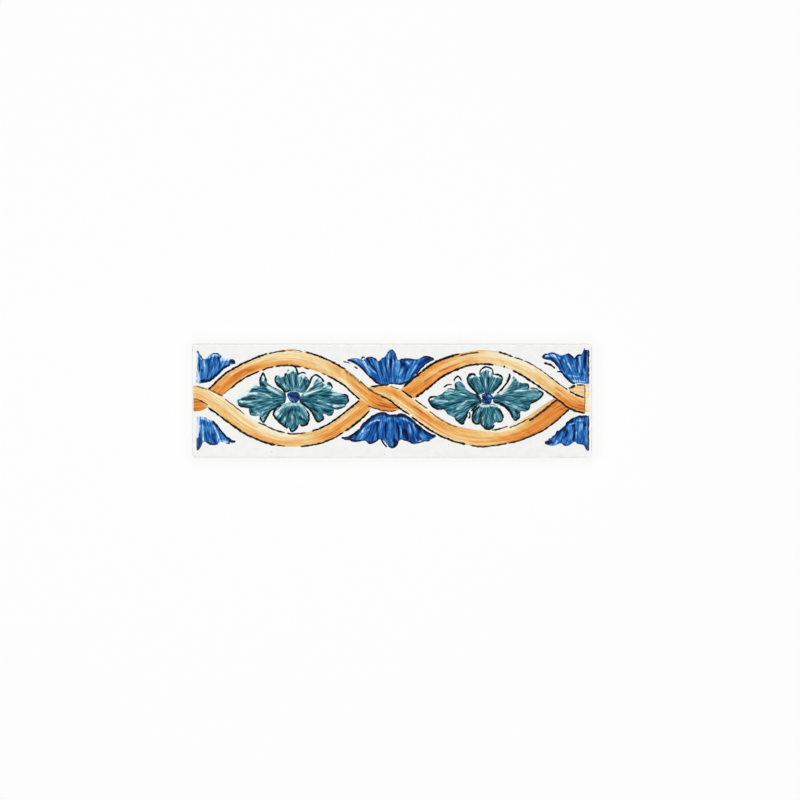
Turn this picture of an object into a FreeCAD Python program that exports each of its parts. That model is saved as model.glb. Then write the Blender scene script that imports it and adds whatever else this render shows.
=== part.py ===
# Border tile: one pressed and glazed strip, lying on its keyed back with its painted face up.
# The origin is the centre of the back, +X runs along the strip and +Z points out of the face.
import FreeCAD, Part
import math
import os
import Sketcher

NODE = "border_tile"

# Driving dimensions, in millimetres, with the drafts in degrees.
DIMENSIONS = {
    "tile_length": 200.0,       # along the run of the border, at the face before its edge is rounded
    "tile_width": 57.0,         # across the border, at the face before its edge is rounded
    "tile_thickness": 8.0,      # from the lands of the back to the face
    "side_draft": 1.5,          # lets the pressing leave its die, so the back is the smaller side
    "corner_radius": 1.5,       # the four upright corners, measured at the face
    "arris_radius": 1.0,        # the glazed edge all round the face
    "back_chamfer": 0.8,        # the edge all round the back
    "key_columns": 12.0,        # keying recesses along the strip, so that a rib crosses its middle
    "key_rows": 3.0,            # keying recesses across the strip
    "key_end_land": 9.0,        # plain back left at each end of the strip
    "key_side_land": 6.0,       # plain back left along each side of the strip
    "key_rib": 4.0,             # rib left between two recesses
    "key_corner": 2.0,          # corner radius of a recess, measured at the back
    "key_depth": 0.9,           # how far a recess goes into the back
    "key_draft": 20.0,          # slope of a recess's walls
}


def make_sheet(doc):
    """The spreadsheet that every sketch and feature reads."""
    sheet = doc.addObject("Spreadsheet::Sheet", "Sizes")
    for row, (alias, value) in enumerate(DIMENSIONS.items(), start=1):
        sheet.set(f"A{row}", alias)
        sheet.set(f"B{row}", str(value))
        sheet.setAlias(f"B{row}", alias)
    doc.recompute()
    return sheet


def dimension(sketch, kind, name, elements, start_value, expression):
    """Adds a named dimension to a sketch and ties it to the sheet."""
    sketch.addConstraint(Sketcher.Constraint(kind, *elements, start_value))
    sketch.renameConstraint(sketch.ConstraintCount - 1, name)
    sketch.setExpression(f"Constraints.{name}", expression)


def rounded_rectangle(body, name, side, radius, sizes):
    """A rectangle with rounded corners on the body's XY plane, fully set by five expressions.

    Edges 0 to 3 are the lower, right, upper and left sides, and edge 4 + n is the arc after side n.
    It is first drawn as a square of that side, and the expressions then give it its size and place."""
    sketch = body.newObject("Sketcher::SketchObject", name)
    plane = next(item for item in body.Origin.OriginFeatures if item.Role == "XY_Plane")
    sketch.AttachmentSupport = (plane, [""])
    sketch.MapMode = "FlatFace"
    quarter = math.pi / 2
    inset = side / 2 - radius
    centres = [
        FreeCAD.Vector(x * inset, y * inset, 0)
        for x, y in ((-1, -1), (1, -1), (1, 1), (-1, 1))
    ]
    for edge in range(4):
        angle = (edge - 1) * quarter
        outward = FreeCAD.Vector(math.cos(angle), math.sin(angle), 0) * radius
        line = Part.LineSegment(centres[edge] + outward, centres[(edge + 1) % 4] + outward)
        sketch.addGeometry(line, False)
    for edge in range(4):
        circle = Part.Circle(centres[(edge + 1) % 4], FreeCAD.Vector(0, 0, 1), radius)
        arc = Part.ArcOfCircle(circle, (edge - 1) * quarter, edge * quarter)
        sketch.addGeometry(arc, False)
    for edge in range(4):
        direction = "Horizontal" if edge % 2 == 0 else "Vertical"
        sketch.addConstraint(Sketcher.Constraint(direction, edge))
        sketch.addConstraint(Sketcher.Constraint("Tangent", edge, 2, 4 + edge, 1))
        sketch.addConstraint(Sketcher.Constraint("Tangent", 4 + edge, 2, (edge + 1) % 4, 1))
    for arc in range(5, 8):
        sketch.addConstraint(Sketcher.Constraint("Equal", 4, arc))
    dimension(sketch, "Radius", "corner", (4,), radius, sizes["corner"])
    dimension(sketch, "DistanceX", "length", (3, 1, 1, 1), side, sizes["length"])
    dimension(sketch, "DistanceY", "width", (0, 1, 2, 1), side, sizes["width"])
    dimension(sketch, "DistanceX", "left", (3, 1, -1, 1), side / 2, sizes["left_of_centre"])
    dimension(sketch, "DistanceY", "below", (0, 1, -1, 1), side / 2, sizes["below_centre"])
    return sketch


def make_blank(doc, body, sheet):
    """The pressed blank: the outline of the face, drawn down to the smaller back."""
    face = rounded_rectangle(body, "FaceOutline", sheet.tile_width, sheet.corner_radius, {
        "corner": "Sizes.corner_radius",
        "length": "Sizes.tile_length",
        "width": "Sizes.tile_width",
        "left_of_centre": "Sizes.tile_length / 2",
        "below_centre": "Sizes.tile_width / 2",
    })
    face.setExpression("AttachmentOffset.Base.z", "Sizes.tile_thickness")
    blank = body.newObject("PartDesign::Pad", "Blank")
    blank.Profile = face
    blank.Reversed = True
    blank.setExpression("Length", "Sizes.tile_thickness")
    blank.setExpression("TaperAngle", "-Sizes.side_draft")
    doc.recompute()
    return blank


def edges_at(feature, height):
    """Names of the feature's edges that lie at that height."""
    near = 1e-5
    return [
        f"Edge{number}"
        for number, edge in enumerate(feature.Shape.Edges, start=1)
        if all(abs(point.z - height) < near for point in edge.discretize(5))
    ]


def make_edges(doc, body, sheet, blank):
    """The rounded, glazed arris round the face and the chamfer round the back."""
    arris = body.newObject("PartDesign::Fillet", "Arris")
    arris.Base = (blank, edges_at(blank, sheet.tile_thickness))
    arris.setExpression("Radius", "Sizes.arris_radius")
    doc.recompute()
    back_edge = body.newObject("PartDesign::Chamfer", "BackEdge")
    back_edge.Base = (arris, edges_at(arris, 0.0))
    back_edge.setExpression("Size", "Sizes.back_chamfer")
    doc.recompute()
    return back_edge


def cell_size(extent, land, count):
    """The expression for one side of a recess: what the lands and ribs leave, shared out."""
    ribs = f"(Sizes.{count} - 1) * Sizes.key_rib"
    return f"(Sizes.{extent} - 2 * Sizes.{land} - {ribs}) / Sizes.{count}"


def repeat_keys(doc, sketch, name, axis, extent, land, count):
    """A row of recesses along one axis of their sketch, from one land to the other."""
    pattern = doc.addObject("PartDesign::LinearPattern", name)
    pattern.Direction = (sketch, [axis])
    cell = cell_size(extent, land, count)
    pattern.setExpression("Length", f"Sizes.{extent} - 2 * Sizes.{land} - {cell}")
    pattern.setExpression("Occurrences", f"Sizes.{count}")
    return pattern


def make_keys(doc, body, sheet):
    """The waffle of shallow recesses in the back, which the bedding adhesive grips."""
    along = ("tile_length", "key_end_land", "key_columns")
    across = ("tile_width", "key_side_land", "key_rows")
    start_side = 4 * sheet.key_corner
    sketch = rounded_rectangle(body, "KeyOutline", start_side, sheet.key_corner, {
        "corner": "Sizes.key_corner",
        "length": cell_size(*along),
        "width": cell_size(*across),
        "left_of_centre": "Sizes.tile_length / 2 - Sizes.key_end_land",
        "below_centre": "Sizes.tile_width / 2 - Sizes.key_side_land",
    })
    recess = body.newObject("PartDesign::Pocket", "KeyRecess")
    recess.Profile = sketch
    recess.Reversed = True
    recess.setExpression("Length", "Sizes.key_depth")
    recess.setExpression("TaperAngle", "-Sizes.key_draft")
    doc.recompute()
    keys = body.newObject("PartDesign::MultiTransform", "Keys")
    keys.Originals = [recess]
    keys.Transformations = [
        repeat_keys(doc, sketch, "KeyColumns", "H_Axis", *along),
        repeat_keys(doc, sketch, "KeyRows", "V_Axis", *across),
    ]
    body.Tip = keys
    doc.recompute()
    return keys


def check(doc, body, edged, keyed):
    """Stops before anything is written if a feature failed or the recesses cut nothing."""
    failed = [item.Name for item in doc.Objects if {"Invalid", "Error"} & set(item.State)]
    if failed:
        raise RuntimeError(f"failed features: {failed}")
    if body.Shape.isNull() or not body.Shape.isValid():
        raise RuntimeError("the tile is not a valid solid")
    if keyed.Shape.Volume >= edged.Shape.Volume:
        raise RuntimeError("the keying recesses cut nothing")


def main():
    doc = FreeCAD.newDocument("BorderTile")
    sheet = make_sheet(doc)
    body = doc.addObject("PartDesign::Body", "Tile")
    body.Label = NODE
    blank = make_blank(doc, body, sheet)
    edged = make_edges(doc, body, sheet, blank)
    keyed = make_keys(doc, body, sheet)
    check(doc, body, edged, keyed)
    body.Placement = FreeCAD.Placement()
    os.makedirs("parts", exist_ok=True)
    body.Shape.exportStep(f"parts/{body.Label}.step")
    print(f"{body.Label}: {len(body.Shape.Faces)} faces, {body.Shape.Volume / 1000:.2f} cm3")


main()
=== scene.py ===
# %% [markdown]
# # A hand-painted border tile
#
# The object is one strip of pressed clay, dipped in white tin glaze and painted by hand before its
# last firing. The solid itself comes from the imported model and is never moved. This lesson gives it
# its glaze, and then lays the painting on it colour by colour, in the order in which a painter works.
# The painting is drawn in millimetres from the middle of the tile and turned into metres at the end.

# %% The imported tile
import math

import bmesh
import bpy
import numpy as np
from mathutils import Color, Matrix, Vector, kdtree, noise


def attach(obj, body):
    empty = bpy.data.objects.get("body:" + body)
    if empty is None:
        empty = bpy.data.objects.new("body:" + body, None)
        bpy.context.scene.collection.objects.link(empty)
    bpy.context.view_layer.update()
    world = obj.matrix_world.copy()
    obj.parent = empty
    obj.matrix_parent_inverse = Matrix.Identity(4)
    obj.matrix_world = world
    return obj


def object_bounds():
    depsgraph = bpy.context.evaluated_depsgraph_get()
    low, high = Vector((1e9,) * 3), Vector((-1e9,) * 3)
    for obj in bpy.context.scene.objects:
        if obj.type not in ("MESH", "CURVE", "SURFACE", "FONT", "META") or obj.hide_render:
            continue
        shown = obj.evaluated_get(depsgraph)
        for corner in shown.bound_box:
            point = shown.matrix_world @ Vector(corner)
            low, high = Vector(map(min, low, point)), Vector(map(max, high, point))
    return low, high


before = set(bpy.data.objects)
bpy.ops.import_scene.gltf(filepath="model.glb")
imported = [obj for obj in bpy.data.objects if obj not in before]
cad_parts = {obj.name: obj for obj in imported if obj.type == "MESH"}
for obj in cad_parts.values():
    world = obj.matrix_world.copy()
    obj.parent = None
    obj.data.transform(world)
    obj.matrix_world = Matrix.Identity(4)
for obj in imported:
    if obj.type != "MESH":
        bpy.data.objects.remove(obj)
cad_low, cad_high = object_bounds()
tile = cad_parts["border_tile"]
MM = 0.001
FACE = cad_high.z / MM
print("tile, mm:", [round((high - low) / MM, 2) for low, high in zip(cad_low, cad_high)])

# %% [markdown]
# ## Camera
#
# The photograph looks straight down on the face with hardly any perspective, so a long lens stands
# well back. Its distance follows from the scale of the picture, and its place from where the middle
# of the tile lies in the frame.

# %% Camera
PIXELS = 800
PIXELS_PER_MM = 2.0
TILE_CENTRE_PIXEL = (392.0, 400.6)
LENS, SENSOR = 100.0, 36.0

camera_data = bpy.data.cameras.new("camera")
camera_data.lens = LENS
camera_data.sensor_width = SENSOR
camera = bpy.data.objects.new("camera", camera_data)
camera_height = PIXELS / PIXELS_PER_MM * MM * LENS / SENSOR
camera.location = (
    (PIXELS / 2 - TILE_CENTRE_PIXEL[0]) / PIXELS_PER_MM * MM,
    (TILE_CENTRE_PIXEL[1] - PIXELS / 2) / PIXELS_PER_MM * MM,
    cad_high.z + camera_height,
)
bpy.context.scene.collection.objects.link(camera)
bpy.context.scene.camera = camera
bpy.context.scene.view_settings.view_transform = "Standard"
print("camera stands", round(camera_height, 3), "m above the face")

# %% [markdown]
# ## Light
#
# Flat glazed work is lit as on a copy stand: soft boxes on all sides, steep enough for short shadows
# but far enough from the lens that the glaze doesn't mirror them into the picture. Each box gives a
# share of the light, and the world gives the rest, so that together a colour renders as it is written.

# %% Soft boxes and world
WORLD_SHARE = 0.16
BOXES = {"left": (180, 0.24), "right": (0, 0.195), "far": (90, 0.21), "near": (270, 0.195)}
BOX_DISTANCE, BOX_TILT, BOX_SIZE = 1.5, math.radians(33), 0.6


def soft_box(name, azimuth, share):
    """A square lamp aimed at the tile that gives a level surface that share of full light."""
    data = bpy.data.lights.new(f"soft_box_{name}", "AREA")
    data.size = BOX_SIZE
    data.energy = share * (math.pi * BOX_DISTANCE) ** 2 / math.cos(BOX_TILT)
    lamp = bpy.data.objects.new(data.name, data)
    turn = math.radians(azimuth)
    level = BOX_DISTANCE * math.sin(BOX_TILT)
    up = BOX_DISTANCE * math.cos(BOX_TILT)
    lamp.location = (level * math.cos(turn), level * math.sin(turn), up)
    lamp.rotation_euler = (-lamp.location).to_track_quat("-Z", "Y").to_euler()
    bpy.context.scene.collection.objects.link(lamp)
    return data.energy


world = bpy.data.worlds.new("studio")
world.use_nodes = True
world.node_tree.nodes["Background"].inputs["Color"].default_value = (1, 1, 1, 1)
world.node_tree.nodes["Background"].inputs["Strength"].default_value = WORLD_SHARE
bpy.context.scene.world = world
for name, (azimuth, share) in BOXES.items():
    print(name, "box:", round(soft_box(name, azimuth, share), 2), "W")

# %% [markdown]
# ## Working with nodes
#
# A finish is a tree of shader nodes. A few small helpers keep the trees readable: one adds a node and
# fills its sockets, one does arithmetic, and one turns a value into a colour by a list of stops.
# Colours are written as on a painter's chart and turned into linear light.

# %% Node helpers
def linear(chart_colour):
    """A colour written as #RRGGBB, as the linear values that a socket takes."""
    channels = [int(chart_colour[i:i + 2], 16) / 255 for i in (1, 3, 5)]
    return (*Color(channels).from_srgb_to_scene_linear(), 1.0)


def node(tree, kind, sockets=None, **settings):
    """A new node: settings are its properties, sockets its inputs, each a value or a link."""
    made = tree.nodes.new(kind)
    for key, value in settings.items():
        setattr(made, key, value)
    for key, value in (sockets or {}).items():
        if isinstance(value, bpy.types.NodeSocket):
            tree.links.new(value, made.inputs[key])
        else:
            made.inputs[key].default_value = value
    return made


def maths(tree, operation, *values):
    """The result of a Math node on up to three values or links."""
    return node(tree, "ShaderNodeMath", dict(enumerate(values)), operation=operation).outputs[0]


def chart(tree, value, stops):
    """A colour ramp: stops are pairs of a place from 0 to 1 and a chart colour."""
    made = node(tree, "ShaderNodeValToRGB", {"Fac": value})
    elements = made.color_ramp.elements
    while len(elements) < len(stops):
        elements.new(0.5)
    for element, (place, colour) in zip(elements, stops):
        element.position = place
        element.color = linear(colour)
    return made.outputs["Color"]


def new_material(name):
    """A material with a Principled BSDF: returns it, its tree and that shader."""
    material = bpy.data.materials.new(name)
    material.use_nodes = True
    return material, material.node_tree, material.node_tree.nodes["Principled BSDF"]


print("node helpers ready")

# %% [markdown]
# ## Floor
#
# The tile lies on a plain white floor. For rays that the camera or a reflection sends out, the floor
# is mostly its own white, which keeps the background white and leaves a faint soft shadow round the
# tile.

# %% Floor
FLOOR_SIZE = 3.0
FLOOR_GAP = 0.0002
FLOOR_WHITE = 0.97
SHADOW_LEFT = 0.2

bm = bmesh.new()
bmesh.ops.create_grid(bm, x_segments=1, y_segments=1, size=FLOOR_SIZE)
bmesh.ops.translate(bm, vec=(0, 0, cad_low.z - FLOOR_GAP), verts=bm.verts)
floor_mesh = bpy.data.meshes.new("floor")
bm.to_mesh(floor_mesh)
bm.free()
floor = bpy.data.objects.new("floor", floor_mesh)
bpy.context.scene.collection.objects.link(floor)
floor_material, tree, shader = new_material("floor_white")
shader.inputs["Base Color"].default_value = (FLOOR_WHITE, FLOOR_WHITE, FLOOR_WHITE, 1)
shader.inputs["Roughness"].default_value = 1.0
shader.inputs["Specular IOR Level"].default_value = 0.0
light_path = node(tree, "ShaderNodeLightPath")
seen = maths(tree, "MAXIMUM", light_path.outputs["Is Camera Ray"], light_path.outputs["Is Glossy Ray"])
seen = maths(tree, "MAXIMUM", seen, light_path.outputs["Is Transmission Ray"])
white = node(tree, "ShaderNodeEmission", {"Strength": 1.0})
own_white = maths(tree, "MULTIPLY", seen, 1.0 - SHADOW_LEFT)
mixed = node(tree, "ShaderNodeMixShader", {0: own_white, 1: shader.outputs[0], 2: white.outputs[0]})
tree.links.new(mixed.outputs[0], tree.nodes["Material Output"].inputs["Surface"])
floor_mesh.materials.append(floor_material)
print("floor:", 2 * FLOOR_SIZE, "m square")

# %% [markdown]
# ## Shared effects
#
# Two effects turn up in every finish here, so each is a node group that is built once. "Glaze skin" is
# the slight waviness and orange peel of fired glaze, with its few iron specks. It reads the place on
# the tile, so it runs on unbroken under every colour. "Brush streaks" is the trail of a loaded brush:
# fine across the stroke and long along it.

# %% Glaze skin group
def new_group(name, inputs, outputs):
    """An empty shader node group with those sockets: returns its tree, its inputs and its output node."""
    tree = bpy.data.node_groups.new(name, "ShaderNodeTree")
    for label, kind in inputs:
        tree.interface.new_socket(label, in_out="INPUT", socket_type=kind)
    for label, kind in outputs:
        tree.interface.new_socket(label, in_out="OUTPUT", socket_type=kind)
    return tree, node(tree, "NodeGroupInput").outputs, node(tree, "NodeGroupOutput")


def grain(tree, place, scale, detail):
    """Plain noise of that scale, from 0 to 1."""
    return node(tree, "ShaderNodeTexNoise", {
        "Vector": place, "Scale": scale, "Detail": detail,
    }).outputs["Fac"]


FLOAT, VECTOR = "NodeSocketFloat", "NodeSocketVector"
WAVE_SCALE, PEEL_SCALE, PEEL_SHARE, CLOUD_SCALE = 75.0, 700.0, 0.06, 260.0
SPECK_SCALE, SPECK_SIZE, SPECK_RARITY = 300.0, 0.07, 0.9
glaze_skin, given, result = new_group(
    "Glaze skin", [("Place", VECTOR)], [("Height", FLOAT), ("Specks", FLOAT), ("Cloud", FLOAT)]
)
waves = grain(glaze_skin, given["Place"], WAVE_SCALE, detail=1.0)
peel = grain(glaze_skin, given["Place"], PEEL_SCALE, detail=2.0)
cloud = grain(glaze_skin, given["Place"], CLOUD_SCALE, detail=3.0)
height = maths(glaze_skin, "MULTIPLY_ADD", peel, PEEL_SHARE, waves)
cells = node(glaze_skin, "ShaderNodeTexVoronoi", {"Vector": given["Place"], "Scale": SPECK_SCALE})
speck = maths(glaze_skin, "LESS_THAN", cells.outputs["Distance"], SPECK_SIZE)
lot = node(glaze_skin, "ShaderNodeSeparateColor", {"Color": cells.outputs["Color"]})
rare = maths(glaze_skin, "GREATER_THAN", lot.outputs[0], SPECK_RARITY)
glaze_skin.links.new(height, result.inputs["Height"])
glaze_skin.links.new(maths(glaze_skin, "MULTIPLY", speck, rare), result.inputs["Specks"])
glaze_skin.links.new(cloud, result.inputs["Cloud"])
print("group:", glaze_skin.name)

# %% Brush streaks group
BROAD_SHARE, FINE_SHARE, FINE_WIDTH = 0.65, 0.35, 0.3
BRISTLE_LOW, BRISTLE_HIGH, BRISTLE_DETAIL, BRISTLE_BEND = 0.34, 0.66, 2.0, 0.3
brush_streaks, given, result = new_group(
    "Brush streaks",
    [("Stroke", VECTOR), ("Width", FLOAT), ("Length", FLOAT)],
    [("Streak", FLOAT)],
)
stroke = node(brush_streaks, "ShaderNodeSeparateXYZ", {"Vector": given["Stroke"]})


def bristles(share_of_width):
    """Noise stretched along the stroke, from -1 to 1."""
    width = maths(brush_streaks, "MULTIPLY", given["Width"], share_of_width)
    stretched = node(brush_streaks, "ShaderNodeCombineXYZ", {
        0: maths(brush_streaks, "DIVIDE", stroke.outputs[0], width),
        1: maths(brush_streaks, "DIVIDE", stroke.outputs[1], width),
        2: maths(brush_streaks, "DIVIDE", stroke.outputs[2], given["Length"]),
    })
    trail = node(brush_streaks, "ShaderNodeTexNoise", {
        "Vector": stretched.outputs[0], "Scale": 1.0, "Detail": BRISTLE_DETAIL, "Distortion": BRISTLE_BEND,
    })
    spread = node(brush_streaks, "ShaderNodeMapRange", {
        "Value": trail.outputs["Fac"], "From Min": BRISTLE_LOW, "From Max": BRISTLE_HIGH,
        "To Min": -1.0, "To Max": 1.0,
    })
    return spread.outputs["Result"]


broad = maths(brush_streaks, "MULTIPLY", bristles(1.0), BROAD_SHARE)
streak = maths(brush_streaks, "MULTIPLY_ADD", bristles(FINE_WIDTH), FINE_SHARE, broad)
brush_streaks.links.new(streak, result.inputs["Streak"])
print("group:", brush_streaks.name)

# %% [markdown]
# ## The tile's own finish
#
# The face and the rounded arris are covered by white tin glaze, which runs a little way down the sides
# and stops in an uneven line. Below it, and on the keyed back, the fired clay is bare and rough. Two
# materials would need an edge cut along that line, so one material does both: the height on the tile,
# with some noise, says where the glaze ends.

# %% Glaze and bare clay
GLAZE_END, GLAZE_RAGGED, GLAZE_FADE = 3.4, 2.6, 0.25
GLAZE_BUMP, CLAY_BUMP = 0.05, 0.1
GLAZE_ROUGH, CLAY_ROUGH = 0.1, 0.88
RAGGED_SCALE, MOTTLE_SCALE, GRIT_SCALE, GRIT_SHARE = 130.0, 180.0, 1600.0, 0.4
GLAZE_TINTS = [(0.0, "#ECEFEC"), (0.35, "#F8F9F6"), (0.65, "#FCFCFA"), (1.0, "#FDFDFB")]
CLAY_TINTS = [(0.0, "#A9714F"), (0.4, "#C48D68"), (0.7, "#D2A07C"), (1.0, "#DDB593")]
SPECK_COLOUR = "#8C8378"


def blend(tree, share, first, second, kind="FLOAT"):
    """A Mix node between two values, or two colours with kind RGBA."""
    mix = node(tree, "ShaderNodeMix", data_type=kind)
    ends = [socket for socket in mix.inputs if socket.enabled][-2:]
    for socket, value in [(mix.inputs["Factor"], share), (ends[0], first), (ends[1], second)]:
        if isinstance(value, bpy.types.NodeSocket):
            tree.links.new(value, socket)
        else:
            socket.default_value = value
    return next(socket for socket in mix.outputs if socket.enabled)


def relief(tree, height_in_mm):
    """The normal of a bump whose height is in millimetres."""
    return node(tree, "ShaderNodeBump", {"Height": height_in_mm, "Distance": MM}).outputs["Normal"]


glaze, tree, shader = new_material("tin_glaze")
place = node(tree, "ShaderNodeTexCoord").outputs["Object"]
skin = node(tree, "ShaderNodeGroup", {"Place": place}, node_tree=glaze_skin).outputs
ragged = grain(tree, place, RAGGED_SCALE, detail=3.0)
level = node(tree, "ShaderNodeSeparateXYZ", {"Vector": place}).outputs["Z"]
above = maths(tree, "SUBTRACT", maths(tree, "DIVIDE", level, MM), GLAZE_END)
above = maths(tree, "MULTIPLY_ADD", maths(tree, "SUBTRACT", ragged, 0.5), 2 * GLAZE_RAGGED, above)
glazed = node(tree, "ShaderNodeMapRange", {
    "Value": above, "From Min": -GLAZE_FADE, "From Max": GLAZE_FADE,
}).outputs["Result"]
mottle = grain(tree, place, MOTTLE_SCALE, detail=5.0)
grit = grain(tree, place, GRIT_SCALE, detail=2.0)
white_glaze = chart(tree, skin["Cloud"], GLAZE_TINTS)
white_glaze = blend(tree, skin["Specks"], white_glaze, linear(SPECK_COLOUR), "RGBA")
uneven = maths(tree, "MULTIPLY_ADD", grit, GRIT_SHARE, maths(tree, "MULTIPLY", mottle, 1 - GRIT_SHARE))
bare_clay = chart(tree, uneven, CLAY_TINTS)
colour = blend(tree, glazed, bare_clay, white_glaze, "RGBA")
tree.links.new(colour, shader.inputs["Base Color"])
tree.links.new(blend(tree, glazed, CLAY_ROUGH, GLAZE_ROUGH), shader.inputs["Roughness"])
heights = blend(tree, glazed, maths(tree, "MULTIPLY", grit, CLAY_BUMP),
                maths(tree, "MULTIPLY", skin["Height"], GLAZE_BUMP))
tree.links.new(relief(tree, heights), shader.inputs["Normal"])
tile.data.materials.clear()
tile.data.materials.append(glaze)
print("glaze ends about", GLAZE_END, "mm above the back")

# %% [markdown]
# ## Paints
#
# The colours are metal oxides in water, brushed on to the raw glaze. Where the brush is full the colour
# is deep, and where it runs dry the white shows through. So each paint is one chart from pale to deep,
# and a value picks the place on it: "tone", which is stored on the mesh as the painter laid it on, plus
# the streaks of the brush, whose direction is stored as "brush". Both are attributes of the points.

# %% Paint materials
PAINT_ROUGH = 0.13
STREAK_BUMP = 0.006


def paint(name, stops, streak_width, streak_length, streak_amount):
    """A glossy fired paint. Widths and lengths of its streaks are in millimetres."""
    material, tree, shader = new_material(name)
    place = node(tree, "ShaderNodeTexCoord").outputs["Object"]
    skin = node(tree, "ShaderNodeGroup", {"Place": place}, node_tree=glaze_skin).outputs
    brush = node(tree, "ShaderNodeAttribute", attribute_name="brush").outputs["Vector"]
    streak = node(tree, "ShaderNodeGroup", {
        "Stroke": brush, "Width": streak_width, "Length": streak_length,
    }, node_tree=brush_streaks).outputs["Streak"]
    tone = node(tree, "ShaderNodeAttribute", attribute_name="tone").outputs["Fac"]
    value = maths(tree, "MULTIPLY_ADD", streak, streak_amount, tone)
    tree.links.new(chart(tree, value, stops), shader.inputs["Base Color"])
    shader.inputs["Roughness"].default_value = PAINT_ROUGH
    heights = maths(tree, "MULTIPLY", skin["Height"], GLAZE_BUMP)
    heights = maths(tree, "MULTIPLY_ADD", streak, STREAK_BUMP, heights)
    tree.links.new(relief(tree, heights), shader.inputs["Normal"])
    return material


ochre = paint("ochre_brushed", [
    (0.0, "#FDF3D6"), (0.1, "#FBE9BC"), (0.22, "#F9DBA2"), (0.4, "#F5C47A"), (0.6, "#F0A552"),
    (0.78, "#EA8A36"), (0.9, "#D0722C"), (1.0, "#8E5830"),
], streak_width=0.7, streak_length=16.0, streak_amount=0.23)
teal = paint("teal_brushed", [
    (0.0, "#EEF9F8"), (0.2, "#AFD8DC"), (0.4, "#609FAC"), (0.6, "#2C7385"), (0.8, "#104D60"),
    (1.0, "#02202C"),
], streak_width=0.6, streak_length=5.0, streak_amount=0.42)
cobalt = paint("cobalt_brushed", [
    (0.0, "#DDEEFD"), (0.12, "#9CC8F2"), (0.25, "#5C9FDD"), (0.4, "#337CC5"), (0.6, "#145AA7"),
    (0.8, "#063278"), (1.0, "#010C34"),
], streak_width=0.4, streak_length=6.0, streak_amount=0.34)
violet = paint("violet_brushed", [
    (0.0, "#D3E2F4"), (0.35, "#5088BE"), (0.6, "#1D5298"), (0.8, "#082A66"), (1.0, "#03092C"),
], streak_width=1.1, streak_length=3.0, streak_amount=0.36)
LINE_STREAKS = {"streak_width": 0.3, "streak_length": 3.0, "streak_amount": 0.12}
brown_line = paint("brown_line", [
    (0.0, "#C79A70"), (0.35, "#7A4E26"), (0.65, "#3A2211"), (1.0, "#140A05"),
], **LINE_STREAKS)
blue_line = paint("blue_black_line", [
    (0.0, "#5B86A0"), (0.4, "#1D4256"), (0.7, "#08202C"), (1.0, "#020A12"),
], **LINE_STREAKS)
navy_line = paint("navy_line", [
    (0.0, "#6C9BD8"), (0.4, "#15397E"), (0.7, "#041B4A"), (1.0, "#010720"),
], **LINE_STREAKS)
print("paints:", [m.name for m in (ochre, teal, cobalt, violet, brown_line, blue_line, navy_line)])

# %% [markdown]
# ## Strokes
#
# A brush stroke is a thin ridge of paint that follows a line. The line goes smoothly through a few
# given rows, each with its place, width and other numbers. A bevelled curve could draw it too, but its
# points can't hold a tone. So a grid is bent along the line as a sleeve: its middle columns make the
# domed top, the next ones its rims, and the first and last ones meet underneath, inside the glaze, where
# they are welded. That makes every stroke a closed body.

# %% Smooth lines through given rows
def flow(rows, spacing):
    """Rows led smoothly through the given rows at that spacing. The first two numbers are x and y."""
    rows = np.array(rows, float)
    ends = np.vstack([2 * rows[0] - rows[1], rows, 2 * rows[-1] - rows[-2]])
    led = []
    for before, start, end, after in zip(ends, ends[1:], ends[2:], ends[3:]):
        steps = max(2, round(math.dist(start[:2], end[:2]) / spacing))
        for t in np.arange(steps) / steps:
            led.append(0.5 * (
                2 * start + (end - before) * t + (2 * before - 5 * start + 4 * end - after) * t ** 2
                + (3 * start - before - 3 * end + after) * t ** 3
            ))
    return np.array(led + [rows[-1]])


def unroll(path):
    """For each row of a path: its distance from the start, and the direction to its left."""
    steps = np.gradient(path[:, :2], axis=0)
    steps /= np.linalg.norm(steps, axis=1)[:, None]
    travel = np.concatenate([[0], np.cumsum(np.linalg.norm(np.diff(path[:, :2], axis=0), axis=1))])
    return travel, np.column_stack([-steps[:, 1], steps[:, 0]])


SEEDS_APART = (7.31, 1.7)


def drift(place, seed):
    """A slow random value from -1 to 1 that is the same in every run."""
    return noise.noise(Vector((place, seed * SEEDS_APART[0], seed * SEEDS_APART[1])))


print("a test line has", len(flow([(0, 0), (5, 2), (9, 1)], 0.5)), "rows")

# %% Sleeves of paint
SUNK, RIM_DROP, RIM_ROUNDNESS = 0.05, 0.7, 6
STROKES_APART, WELD_REACH = 9.7, 1e-4
ARRIS = 1.0
FLAT_X, FLAT_Y = cad_high.x / MM - ARRIS, cad_high.y / MM - ARRIS


def paint_layers(bm):
    """The attributes that every painted mesh carries."""
    return bm.verts.layers.float.new("tone"), bm.verts.layers.float_vector.new("brush")


def sleeve(bm, layers, path, half_widths, tops, tone_at, columns, seed):
    """A stroke along a path. tone_at gives the tone from the row and the side, -1 right to 1 left."""
    tone_layer, brush_layer = layers
    travel, left = unroll(path)
    section = [(0, 0), (-1, 0)]
    section += [(side, 1 - RIM_DROP * side ** RIM_ROUNDNESS) for side in np.linspace(-1, 1, columns + 1)]
    section += [(1, 0), (0, 0)]
    last_row, last_column = len(path) - 1, len(section) - 1
    grid = bmesh.ops.create_grid(bm, x_segments=last_row, y_segments=last_column, size=1)["verts"]
    for vert in grid:
        row = round((vert.co.x + 1) / 2 * last_row)
        side, rise = section[round((vert.co.y + 1) / 2 * last_column)]
        across = side * half_widths[row]
        x, y = path[row, :2] + left[row] * across
        vert.co = (x, y, FACE + tops[row] * rise if rise else FACE - SUNK)
        vert[tone_layer] = tone_at(row, side)
        vert[brush_layer] = (across, seed * STROKES_APART, travel[row])
    return grid


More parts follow.
